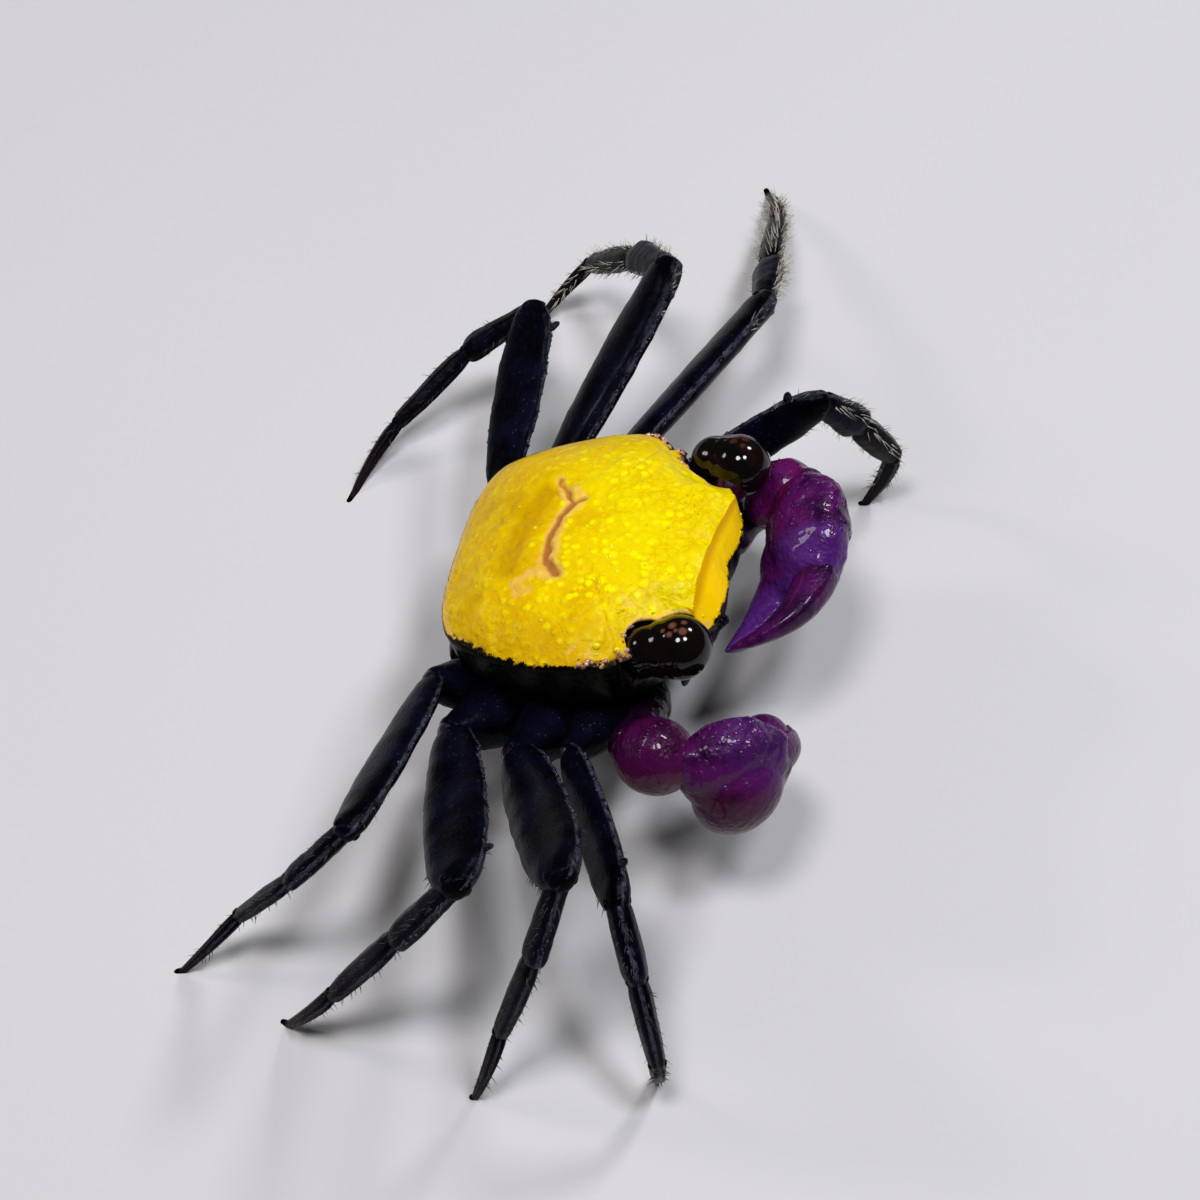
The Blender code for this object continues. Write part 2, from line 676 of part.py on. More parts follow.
def finger_mesh(start, lean, end, radius, grow=0.0):
    """A tapering finger along a quadratic curve, in the hand's frame."""
    rings = []
    for k in range(FINGER_STEPS):
        t = k / (FINGER_STEPS - 1)
        at = start * (1 - t) ** 2 + lean * 2 * t * (1 - t) + end * t ** 2
        along = (lean - start) * (1 - t) + (end - lean) * t
        size = radius * (1 - t) ** 0.8 + 0.13
        turn = along.to_track_quat("X", "Z").to_matrix()
        ring = section(Vector((0, 0, 0)), size + grow, size + grow, size * 0.88 + grow)
        rings.append([at + turn @ point for point in ring])
    return loft(rings, start, end + (end - lean).normalized() * (0.1 + grow))


class Hand:
    """One claw hand in its own frame: x from wrist to knuckle, z to the back of the hand."""

    def __init__(self, joints):
        wrist, knuckle = BODY @ joints["wrist"], BODY @ joints["knuckle"]
        self.frame = frame_along(wrist, knuckle, BODY.to_3x3() @ joints["hand_back"])
        self.length = (knuckle - wrist).length
        tip = self.frame.inverted() @ (BODY @ joints["tip"])
        self.tip = tip
        length = self.length
        self.fixed = (
            Vector((0.80 * length, 0, -1.05)),
            Vector((1.25 * length, 0.25 * tip.y, 0.45 * tip.z - 1.75)),
            tip + Vector((0, 0, -0.22)),
        )
        self.moving = (
            Vector((0.98 * length, 0, 0.95)),
            Vector((1.45 * length, 0.25 * tip.y, 0.35 * tip.z + 1.55)),
            tip + Vector((0.05, 0, 0.22)),
        )

    def fixed_finger(self, grow=0.0):
        return finger_mesh(*self.fixed, FIXED_FINGER_RADIUS, grow)

    def moving_finger(self, grow=0.0):
        return finger_mesh(*self.moving, MOVING_FINGER_RADIUS, grow)

    def curve(self, path, t):
        start, lean, end = path
        return start * (1 - t) ** 2 + lean * 2 * t * (1 - t) + end * t ** 2

    def teeth(self, path, radius, towards):
        """Teeth along a finger's cutting edge, larger in the middle."""
        made = []
        for k in range(TEETH):
            t = 0.30 + 0.13 * k
            size = radius * (1 - t) ** 0.8 + 0.13
            at = self.curve(path, t)
            height = TOOTH_HEIGHT * (1.0 if k % 2 else 0.7)
            root, tip = at + towards * (size - 0.25), at + towards * (size + height)
            made.append(mesh_object("tooth", spike(root, tip, 0.24, 5, 0.05), self.frame, "claw"))
        return made

    def grains(self):
        """The row of grains along the back of the moving finger."""
        made = []
        for k in range(GRAINS):
            t = 0.12 + 0.105 * k
            size = MOVING_FINGER_RADIUS * (1 - t) ** 0.8 + 0.13
            at = self.curve(self.moving, t) + Vector((0.1, 0, size * 0.98))
            made.append(mesh_object("grain", ball(GRAIN_RADIUS, at, segments=6, rings=4), self.frame, "claw"))
        return made


def cheliped_base(side_name, grow=0.0):
    """The short piece between the breast and the arm."""
    side = SIDES[side_name]
    hip, root = BODY @ mirrored(CHELIPED_HIP, side), BODY @ CHELIPEDS[side_name]["root"]
    frame = frame_along(hip, root, Vector((0, 0, 1)))
    shape = (frame, (root - hip).length, COXA)
    name = f"cheliped_{side_name}_base" if grow == 0.0 else "grown_base"
    return mesh_object(name, limb(*shape[1:], grow=grow), frame, "claw"), shape


def build_cheliped(side_name):
    joints = CHELIPEDS[side_name]
    name = "cheliped_" + side_name
    root, elbow, wrist = (BODY @ joints[key] for key in ("root", "elbow", "wrist"))
    base, before = cheliped_base(side_name)
    join_all(base, grown_trunk(), "DIFFERENCE")
    pieces = (("merus", root, elbow, ARM), ("carpus", elbow, wrist, WRIST))
    for piece, start, end, stations in pieces:
        frame = frame_along(start, end, Vector((0, 0, 1)))
        length = (end - start).length
        made = mesh_object(f"{name}_{piece}", limb(length, stations), frame, "claw")
        grown = mesh_object("grown", limb(*before[1:], grow=GAP), before[0], "claw")
        join_all(made, [grown], "DIFFERENCE")
        before = (frame, length, stations)
    hand = Hand(joints)
    palm = mesh_object(name + "_palm", limb(hand.length, PALM), hand.frame, "claw")
    fixed_teeth = hand.teeth(hand.fixed, FIXED_FINGER_RADIUS, Vector((0, 0, 1)))
    join_all(palm, [mesh_object("finger", hand.fixed_finger(), hand.frame, "claw")] + fixed_teeth, "UNION")
    join_all(palm, [mesh_object("grown", limb(*before[1:], grow=GAP), before[0], "claw")], "DIFFERENCE")
    dactyl = mesh_object(name + "_dactyl", hand.moving_finger(), hand.frame, "claw")
    join_all(dactyl, hand.grains(), "UNION")
    cutters = [
        mesh_object("grown_palm", limb(hand.length, PALM, grow=GAP), hand.frame, "claw"),
        mesh_object("grown_finger", hand.fixed_finger(GAP), hand.frame, "claw"),
    ]
    join_all(dactyl, cutters, "DIFFERENCE")


def main():
    clear_scene()
    bpy.context.scene.unit_settings.system = "METRIC"
    parts = bpy.data.collections.new("vampire_crab")
    bpy.context.scene.collection.children.link(parts)
    build_trunk()
    for side_name in SIDES:
        build_cheliped(side_name)
        for pair in range(len(LEG_NAMES)):
            build_leg(pair, side_name)


main()
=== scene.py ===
"""The looks of a life-size vampire crab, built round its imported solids.

Sizes are in millimetres and become metres where a mesh is finished. The trunk is drawn level in its own
frame: x forward, y to the crab's left, z up from the top of the back. BODY tilts it over the floor.
Each limb piece is drawn along its own x axis, with z towards the outer side of the limb's bends.
"""

import bisect
import logging
import math
import random
from dataclasses import dataclass, field
from enum import Enum
from typing import Any, Callable, Dict, List, Optional, Sequence, Tuple, Union

import bmesh
import bpy
from mathutils import Euler, Matrix, Vector, noise
from mathutils.bvhtree import BVHTree
from mathutils.kdtree import KDTree


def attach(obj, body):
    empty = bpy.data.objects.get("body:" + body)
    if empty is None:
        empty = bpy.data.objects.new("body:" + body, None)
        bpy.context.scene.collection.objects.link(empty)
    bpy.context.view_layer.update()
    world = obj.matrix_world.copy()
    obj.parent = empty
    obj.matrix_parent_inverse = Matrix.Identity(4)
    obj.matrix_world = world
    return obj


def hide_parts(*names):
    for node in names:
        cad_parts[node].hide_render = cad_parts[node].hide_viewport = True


log = logging.getLogger("vampire_crab")

MM = 0.001
Row = Tuple[float, ...]
Tone = Tuple[float, float, float]
Colour = Tuple[float, float, float]

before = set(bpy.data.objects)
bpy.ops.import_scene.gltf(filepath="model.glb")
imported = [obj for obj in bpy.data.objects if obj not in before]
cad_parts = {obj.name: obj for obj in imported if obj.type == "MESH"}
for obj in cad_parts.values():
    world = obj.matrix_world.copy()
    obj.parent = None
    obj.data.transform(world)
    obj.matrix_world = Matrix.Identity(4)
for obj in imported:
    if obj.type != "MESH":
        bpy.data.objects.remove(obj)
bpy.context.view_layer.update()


def placed_body() -> Matrix:
    """The trunk's frame over the floor."""
    pitch = Euler((0.0, math.radians(-8.4), 0.0)).to_matrix().to_4x4()
    roll = Euler((math.radians(-8.4), 0.0, 0.0)).to_matrix().to_4x4()
    return Matrix.Translation((0.234, -4.511, 10.9)) @ pitch @ roll


BODY = placed_body()


class Side(Enum):
    """The two sides of the animal, with the sign of y on each."""

    LEFT = 1
    RIGHT = -1

    @property
    def label(self) -> str:
        """The side's word in the names of pieces."""
        return self.name.lower()


class Slot(Enum):
    """The record's finishes."""

    SHELL = "carapace"
    UNDERSIDE = "underside"
    LEG = "leg"
    CLAW = "claw"
    EYE = "eye"


# Numbers along a row


def smooth_row(rows: Sequence[Row], at: float) -> Row:
    """Reads a smooth curve through rows that are sorted by their first number.

    Args:
        rows: the rows, each a place and its values.
        at: the place to read.

    Returns:
        The values there.
    """
    places = [row[0] for row in rows]
    if at <= places[0]:
        return rows[0][1:]
    if at >= places[-1]:
        return rows[-1][1:]
    i = bisect.bisect_right(places, at) - 1
    wide = places[i + 1] - places[i]
    t = (at - places[i]) / wide
    low, high = max(i - 1, 0), min(i + 2, len(rows) - 1)
    values = []
    for k in range(1, len(rows[0])):
        a, b = rows[i][k], rows[i + 1][k]
        start = (b - rows[low][k]) / (places[i + 1] - places[low]) * wide
        end = (rows[high][k] - a) / (places[high] - places[i]) * wide
        values.append(
            a * (2 * t ** 3 - 3 * t ** 2 + 1)
            + b * (3 * t ** 2 - 2 * t ** 3)
            + start * (t ** 3 - 2 * t ** 2 + t)
            + end * (t ** 3 - t ** 2)
        )
    return tuple(values)


def rise(low: float, high: float, value: float) -> float:
    """A smooth step from 0 at low to 1 at high, which may be the smaller of the two."""
    t = max(0.0, min(1.0, (value - low) / (high - low)))
    return t * t * (3 - 2 * t)


def hill(distance: float, width: float) -> float:
    """1 at no distance, falling to almost 0 at twice the width."""
    return math.exp(-((distance / width) ** 2))


def distance_to_path(point: Vector, path: Sequence[Tuple[float, float]]) -> float:
    """The distance in the plane from a point to a line of straight stretches."""
    best = 1e9
    for (ax, ay), (bx, by) in zip(path, path[1:]):
        dx, dy = bx - ax, by - ay
        t = ((point.x - ax) * dx + (point.y - ay) * dy) / (dx * dx + dy * dy)
        t = max(0.0, min(1.0, t))
        best = min(best, math.hypot(point.x - ax - dx * t, point.y - ay - dy * t))
    return best


def mirrored(vector: Sequence[float], side: Side) -> Vector:
    """A point given for the left side, on either side."""
    return Vector((vector[0], vector[1] * side.value, vector[2]))


def frame_along(start: Vector, end: Vector, outer: Vector) -> Matrix:
    """The frame at start with x towards end and z as near outer as it can be."""
    x = (end - start).normalized()
    y = outer.cross(x).normalized()
    rotation = Matrix((x, y, x.cross(y))).transposed()
    return Matrix.Translation(start) @ rotation.to_4x4()


# Material graphs

Number = Union[float, "Signal"]


class Signal:
    """An output socket in a material, which takes part in Python sums."""

    def __init__(self, graph: "Graph", socket: bpy.types.NodeSocket) -> None:
        """Keeps the socket and the graph that it is in."""
        self.graph = graph
        self.socket = socket

    def __add__(self, other: Number) -> "Signal":
        """The sum; a number added to a vector is added to each of its parts."""
        if self.socket.type == "VECTOR":
            return self.graph.vector("ADD", self, other)
        return self.graph.maths("ADD", self, other)

    __radd__ = __add__

    def __sub__(self, other: Number) -> "Signal":
        """The difference."""
        return self.graph.maths("SUBTRACT", self, other)

    def __rsub__(self, other: Number) -> "Signal":
        """The difference, the other way round."""
        return self.graph.maths("SUBTRACT", other, self)

    def __mul__(self, other: Number) -> "Signal":
        """The product."""
        return self.graph.maths("MULTIPLY", self, other)

    __rmul__ = __mul__

    def __truediv__(self, other: Number) -> "Signal":
        """The quotient."""
        return self.graph.maths("DIVIDE", self, other)

    def __rtruediv__(self, other: Number) -> "Signal":
        """The quotient, the other way round."""
        return self.graph.maths("DIVIDE", other, self)

    def __pow__(self, other: Number) -> "Signal":
        """The power."""
        return self.graph.maths("POWER", self, other)

    def at_least(self, other: Number) -> "Signal":
        """The larger of the two."""
        return self.graph.maths("MAXIMUM", self, other)

    def at_most(self, other: Number) -> "Signal":
        """The smaller of the two."""
        return self.graph.maths("MINIMUM", self, other)

    def size(self) -> "Signal":
        """The number without its sign."""
        return self.graph.maths("ABSOLUTE", self, 0.0)

    def step(self, low: float, high: float) -> "Signal":
        """A smooth step from 0 at low to 1 at high, which may be the smaller of the two.

        Args:
            low: the value that becomes 0.
            high: the value that becomes 1.

        Returns:
            The step's signal.
        """
        falls = low > high
        ends = (high, low) if falls else (low, high)
        made = self.graph.node(
            "ShaderNodeMapRange",
            {"interpolation_type": "SMOOTHSTEP"},
            {"Value": self, "From Min": ends[0], "From Max": ends[1]},
        )
        climb = Signal(self.graph, made.outputs["Result"])
        return 1.0 - climb if falls else climb


class Graph:
    """One material, and the methods that add nodes to it."""

    def __init__(self, name: str) -> None:
        """Starts a material with its shader and output only."""
        self.material = bpy.data.materials.new(name)
        self.material.use_nodes = True
        self.tree = self.material.node_tree
        self.shader = self.tree.nodes["Principled BSDF"]

    def node(
        self, kind: str, settings: Optional[Dict[str, Any]] = None, values: Optional[Dict[Any, Any]] = None
    ) -> bpy.types.Node:
        """Adds a node.

        Args:
            kind: the node's type.
            settings: its own settings, and a ramp's stops.
            values: a value or a Signal for each socket that needs one.

        Returns:
            The node.
        """
        made = self.tree.nodes.new(kind)
        for key, value in (settings or {}).items():
            if key == "stops":
                elements = made.color_ramp.elements
                while len(elements) < len(value):
                    elements.new(0.5)
                for element, (place, colour) in zip(elements, value):
                    element.position = place
                    element.color = (*colour, 1.0)
            else:
                setattr(made, key, value)
        for key, value in (values or {}).items():
            if isinstance(value, Signal):
                self.tree.links.new(value.socket, made.inputs[key])
            else:
                made.inputs[key].default_value = value
        return made

    def maths(self, operation: str, one: Number, two: Number) -> Signal:
        """A Math node on two numbers or signals."""
        made = self.node("ShaderNodeMath", {"operation": operation}, {0: one, 1: two})
        return Signal(self, made.outputs[0])

    def vector(self, operation: str, one: Any, two: Any = (0.0, 0.0, 0.0)) -> Signal:
        """A Vector Math node on two vectors or signals; a distance comes out as a number."""
        made = self.node("ShaderNodeVectorMath", {"operation": operation}, {0: one, 1: two})
        return Signal(self, made.outputs["Value" if operation in ("DISTANCE", "LENGTH") else "Vector"])

    def stretched(self, at: Signal, scale: Sequence[float]) -> Signal:
        """The place with each axis scaled."""
        return self.vector("MULTIPLY", at, tuple(scale))

    def attribute(self, name: str) -> Signal:
        """The vector that a mesh carries under this name."""
        made = self.node("ShaderNodeAttribute", {"attribute_name": name})
        return Signal(self, made.outputs["Vector"])

    def parts(self, vector: Signal) -> Tuple[Signal, Signal, Signal]:
        """The three numbers of a vector."""
        made = self.node("ShaderNodeSeparateXYZ", None, {0: vector})
        return tuple(Signal(self, out) for out in made.outputs)

    def noise(self, at: Signal, scale: float, detail: float = 3.0, rough: float = 0.55) -> Signal:
        """Soft noise from about 0.3 to 0.7, in cycles a millimetre."""
        values = {"Vector": at, "Scale": scale, "Detail": detail, "Roughness": rough}
        made = self.node("ShaderNodeTexNoise", None, values)
        return Signal(self, made.outputs[0])

    def cells(self, at: Signal, scale: float, feature: str = "F1", jitter: float = 1.0) -> Signal:
        """The distance to scattered cell centres, or to the cells' borders."""
        values = {"Vector": at, "Scale": scale, "Randomness": jitter}
        made = self.node("ShaderNodeTexVoronoi", {"feature": feature}, values)
        return Signal(self, made.outputs["Distance"])

    def blend(self, share: Number, one: Any, two: Any, how: str = "MIX") -> Signal:
        """Two colours mixed by a share.

        Args:
            share: 0 for the first colour, 1 for the second.
            one: the first colour, or its signal.
            two: the second colour, or its signal.
            how: the way that they mix.

        Returns:
            The mixed colour.
        """
        ends = [c if isinstance(c, Signal) else (*c, 1.0) for c in (one, two)]
        settings = {"data_type": "RGBA", "blend_type": how, "clamp_factor": True}
        made = self.node("ShaderNodeMix", settings, {0: share, 6: ends[0], 7: ends[1]})
        return Signal(self, made.outputs[2])

    def bump(self, height: Signal, depth: float, under: Optional[Signal] = None) -> Signal:
        """A normal tilted by a height map.

        Args:
            height: the map.
            depth: the height in millimetres where the map is 1.
            under: a normal that is already tilted.

        Returns:
            The normal.
        """
        values = {"Height": height, "Distance": depth * MM, "Strength": 1.0}
        if under is not None:
            values["Normal"] = under
        return Signal(self, self.node("ShaderNodeBump", None, values).outputs[0])

    def finish(self, values: Dict[str, Any]) -> bpy.types.Material:
        """Sets the shader's sockets and hands over the material."""
        for key, value in values.items():
            if isinstance(value, Signal):
                self.tree.links.new(value.socket, self.shader.inputs[key])
            else:
                self.shader.inputs[key].default_value = value
        return self.material


# Finishes


@dataclass(frozen=True)
class ShellFinish:
    """Yellow shell: mottled back, brown groove, orange front with painted shade along its crest, ragged edge
    over black walls.
    """

    deep: Colour = (0.70, 0.40, 0.0)
    main: Colour = (0.81, 0.555, 0.0)
    lemon: Colour = (0.83, 0.665, 0.0)
    light: Colour = (0.96, 0.84, 0.0)
    ochre: Colour = (0.56, 0.30, 0.0)
    front: Colour = (1.0, 0.60, 0.0)
    # fold: dark orange-brown, painted shade along the crest where the front drops away steeply
    fold: Colour = (0.60, 0.28, 0.0)
    groove: Colour = (0.36, 0.125, 0.030)
    peach: Colour = (0.80, 0.47, 0.10)
    rust: Colour = (0.13, 0.030, 0.008)
    black: Colour = (0.0010, 0.0008, 0.0010)

    def build(self) -> bpy.types.Material:
        """Makes the material, which reads the shell's place and tone maps."""
        g = Graph("yellow_shell")
        at = g.attribute("place")
        groove, level, front = g.parts(g.attribute("tone"))
        x, y, _ = g.parts(at)
        wide = g.noise(at, 0.42, 3.0, 0.6)
        fine = g.noise(at, 2.6, 4.0, 0.65)
        tiny = g.noise(at, 9.0, 2.0)
        blobs = g.cells(at + (fine - 0.5) * 0.25, 1.9)
        colour = g.blend(wide.step(0.36, 0.62), self.deep, self.main)
        colour = g.blend((x + y * 0.35).step(-0.5, 3.5) * 0.75, colour, self.lemon)
        colour = g.blend(fine.step(0.48, 0.72) * 0.35, colour, self.light)
        cracks = g.cells(at + (fine - 0.5) * 0.5, 1.9, "DISTANCE_TO_EDGE")
        veins = cracks.step(0.13, 0.0) * wide.step(0.66, 0.42)
        colour = g.blend(veins * 0.55, colour, self.deep)
        mounds = blobs.step(0.46, 0.20) * g.noise(at, 0.7).step(0.38, 0.58)
        colour = g.blend(mounds * x.step(-3.4, 0.5) * 0.85, colour, self.light)
        rear = x.step(1.5, -3.0) * g.noise(at, 0.40, 2.0).step(0.44, 0.66)
        colour = g.blend((rear * 0.8).at_least(y.size().step(4.4, 6.2) * 0.45), colour, self.ochre)
        colour = g.blend(groove.step(0.0, -0.8) * 0.9, colour, self.ochre)
        faced = front.step(0.05, 0.22)
        colour = g.blend(faced * 0.9, colour, self.front)
        # Painted shade in the fold colour, in patches along the crest where the front drops away
        colour = g.blend(faced * front.step(0.62, 0.34) * fine.step(0.10, 0.40) * 0.9, colour, self.fold)
        colour = g.blend(front.step(-0.25, -0.85) * 0.75, colour, self.peach)
        colour = g.blend(groove.step(0.03, 0.35) * 0.55, colour, self.peach)
        colour = g.blend(groove.step(0.30, 0.90) * 0.95, colour, self.groove)
        left, right = (g.vector("DISTANCE", at, tuple((a + b) / 2)) for a, b in EYES.values())
        socket = left.at_most(right)
        near = socket.step(2.7, 2.3)
        lip_near = level.step(-0.020, -0.008) * near
        lip = lip_near.at_least(level.step(-0.05, -0.02) * x.step(-2.4, -3.6) * 0.7)
        colour = g.blend(lip * 0.65, colour, (0.83, 0.50, 0.14))
        horn = g.vector("DISTANCE", g.vector("ABSOLUTE", at), (3.6, 6.8, 0.6)).step(1.9, 0.8)
        rusty = horn * level.step(-0.07, -0.01) * fine.step(0.40, 0.55)
        colour = g.blend(rusty, colour, self.rust)
        sides = y.size().step(4.6, 6.0)
        fray = (fine - 0.5) * 0.16 + (tiny - 0.5) * 0.06
        ragged = level + fray * (1.0 - near * 0.8) + horn * 0.03 + sides * 0.022
        under = ragged.step(0.015, 0.035)
        colour = g.blend(level.step(0.0, 0.03) * 0.5, colour, self.rust)
        dark = g.blend(fine.step(0.4, 0.8) * 0.6, self.black, (0.0016, 0.0012, 0.0020))
        dark = g.blend(socket.step(2.4, 1.6), dark, (0.014, 0.003, 0.003))
        colour = g.blend(under, colour, dark)
        beads = blobs.step(0.6, 0.05) * 0.9 + g.cells(at, 4.2).step(0.55, 0.05) * 0.35
        grain = beads + fine * 0.8 + tiny * 0.12
        calm = 1.0 - (faced * 0.75).at_least(under * 0.5)
        return g.finish(
            {
                "Base Color": colour,
                "Roughness": 0.44 - fine * 0.12,
                "Normal": g.bump(grain * calm, 0.050),
                "Specular IOR Level": 0.09,
                "Specular Tint": (1.0, 0.86, 0.50, 1.0),
                "Coat Weight": 0.035 - under * 0.025,
                "Coat Roughness": 0.12,
            }
        )


@dataclass(frozen=True)
class LegFinish:
    """Black horn with a navy and violet cast, keels painted pale as painted glints, pale flecks that are
    partly faint texture and partly painted glints, and browner claws.
    """

    black: Colour = (0.0008, 0.0008, 0.0018)
    navy: Colour = (0.0024, 0.0024, 0.0090)
    violet: Colour = (0.0060, 0.0038, 0.0130)
    # keel: pale grey-lavender, painted glint on the keels and flecks
    keel: Colour = (0.062, 0.060, 0.090)
    brown: Colour = (0.016, 0.006, 0.005)

    def build(self) -> bpy.types.Material:
        """Makes the material; tone is keel, share along the piece and claw."""
        g = Graph("black_horn")
        at = g.attribute("place")
        keel, share, claw = g.parts(g.attribute("tone"))
        wide = g.noise(at, 0.55, 3.0)
        fine = g.noise(g.stretched(at, (0.7, 1.6, 1.6)), 3.2, 4.0, 0.65)
        colour = g.blend(wide.step(0.40, 0.66), self.black, self.navy)
        colour = g.blend(fine.step(0.52, 0.74) * 0.7, colour, self.violet)
        # Pale flecks: partly faint lighter texture, partly painted glints
        flecks_and_painted_glints = g.cells(g.stretched(at, (1.0, 2.0, 2.0)), 2.4).step(0.20, 0.07) * wide.step(0.46, 0.62)
        colour = g.blend(flecks_and_painted_glints * 0.40, colour, self.keel)
        # Painted glint along the keels
        painted_keel_glint = keel.step(0.62, 0.99) * fine.step(0.36, 0.60)
        colour = g.blend(painted_keel_glint * 0.80, colour, self.keel)
        colour = g.blend(claw * share * 0.85, colour, self.brown)
        scales = g.cells(g.stretched(at, (1.0, 1.7, 1.7)), 3.4).step(0.6, 0.1)
        normal = g.bump(scales * 0.4 + fine, 0.013)
        return g.finish(
            {
                "Base Color": colour,
                "Roughness": 0.22 + wide * 0.16 - painted_keel_glint * 0.06,
                "Normal": normal,
                "Specular IOR Level": 0.035,
                "Specular Tint": (0.72, 0.80, 1.0, 1.0),
                "Coat Weight": wide.step(0.56, 0.74) * 0.05,
                "Coat Roughness": 0.06,
            }
        )


@dataclass(frozen=True)
class ClawFinish:
    """Wet purple horn, magenta below and blue-violet along the fingers' backs."""

    deep: Colour = (0.020, 0.0015, 0.027)
    purple: Colour = (0.098, 0.0065, 0.105)
    magenta: Colour = (0.115, 0.0040, 0.042)
    ridge: Colour = (0.076, 0.014, 0.150)
    pale: Colour = (0.22, 0.08, 0.22)
    black: Colour = (0.0030, 0.0008, 0.0016)

    def build(self) -> bpy.types.Material:
        """Makes the material; tone is redness, ridge and, above 0, paleness or, below 0, blackness."""
        g = Graph("purple_horn")
        at = g.attribute("place")
        red, ridge, pale = g.parts(g.attribute("tone"))
        wide = g.noise(at, 0.5, 3.0, 0.6)
        fine = g.noise(at, 2.8, 4.0, 0.6)
        colour = g.blend(wide.step(0.34, 0.62), self.deep, self.purple)
        colour = g.blend((red + (fine - 0.5) * 0.5).step(0.25, 0.95), colour, self.magenta)
        colour = g.blend((ridge + (fine - 0.5) * 0.3).step(0.25, 0.90), colour, self.ridge)
        veins = g.cells(at, 1.7, "DISTANCE_TO_EDGE").step(0.10, 0.0) * wide.step(0.60, 0.42)
        colour = g.blend(veins * 0.35, colour, self.deep)
        colour = g.blend(pale, colour, self.pale)
        colour = g.blend(pale * -0.97, colour, self.black)
        folds = g.noise(g.stretched(at, (2.2, 0.9, 1.4)), 1.5, 3.0)
        normal = g.bump(g.cells(at, 3.0).step(0.6, 0.1) * 0.4 + fine + folds * 1.6, 0.062)
        return g.finish(
            {
                "Base Color": colour,
                "Roughness": 0.18 + wide * 0.16,
                "Normal": normal,
                "Specular IOR Level": 0.09,
                "Specular Tint": (0.90, 0.85, 1.0, 1.0),
                "Coat Weight": 0.28,
                "Coat Roughness": 0.045,
            }
        )


@dataclass(frozen=True)
class UndersideFinish:
    """Dark violet-brown plates, paler along their sutures."""

    dark: Colour = (0.0035, 0.0025, 0.006)
    violet: Colour = (0.018, 0.008, 0.026)
    suture: Colour = (0.090, 0.045, 0.055)

    def build(self) -> bpy.types.Material:
        """Makes the material; the first tone is how near a suture is."""
        g = Graph("dark_plates")
        at = g.attribute("place")
        suture, _, _ = g.parts(g.attribute("tone"))
        wide = g.noise(at, 0.5)
        fine = g.noise(at, 3.0, 4.0)
        colour = g.blend(wide.step(0.35, 0.65), self.dark, self.violet)
        colour = g.blend(suture.step(0.35, 0.95) * 0.65, colour, self.suture)
        normal = g.bump(g.cells(at, 3.2).step(0.55, 0.1) * 0.4 + fine, 0.04)
        return g.finish(
            {
                "Base Color": colour,
                "Roughness": 0.28 + fine * 0.18,
                "Normal": normal,
                "Specular IOR Level": 0.08,
                "Coat Weight": 0.05,
                "Coat Roughness": 0.10,
            }
        )


@dataclass(frozen=True)
class EyeFinish:
    """A wet brown-black cornea with tan spots on its upper side, partly its own colour and partly a painted
    reflection of the yellow shell.
    """

    black: Colour = (0.0022, 0.0012, 0.0010)
    brown: Colour = (0.012, 0.0030, 0.0030)
    # tan: partly the eye's own colour, partly a painted reflection of the yellow shell
    tan: Colour = (0.170, 0.060, 0.035)

    def build(self) -> bpy.types.Material:
        """Makes the material; tone is the tan spots and the redness."""
        g = Graph("wet_eye")
        at = g.attribute("place")
        spots, red, _ = g.parts(g.attribute("tone"))
        wide = g.noise(at, 0.8, 3.0)
        colour = g.blend(wide.step(0.40, 0.70) * red, self.black, self.brown)
        # Tan spots, partly painted reflection of the shell
        colour = g.blend(spots, colour, self.tan)
        return g.finish(
            {
                "Base Color": colour,
                "Roughness": 0.09 + wide * 0.05,
                "Normal": g.bump(g.noise(at, 1.2, 2.0), 0.03),
                "Coat Weight": 0.50,
                "Coat Roughness": 0.02,
                "Specular IOR Level": 0.08,
            }
        )


@dataclass(frozen=True)
class PlainFinish:
    """A small part's finish: two colours mottled together over a faint grain."""

    name: str
    one: Colour
    two: Colour
    scale: float = 1.6
    roughness: float = 0.4
    coat: float = 0.2
    depth: float = 0.02

    def build(self) -> bpy.types.Material:
        """Makes the material."""
        g = Graph(self.name)
        at = g.attribute("place")
        cloud = g.noise(at, self.scale, 3.0)
        return g.finish(
            {
                "Base Color": g.blend(cloud.step(0.38, 0.62), self.one, self.two),
                "Roughness": self.roughness + (cloud - 0.5) * 0.2,
                "Normal": g.bump(g.noise(at, self.scale * 3), self.depth),
                "Specular IOR Level": 0.2,
                "Coat Weight": self.coat,
                "Coat Roughness": 0.08,
            }
        )


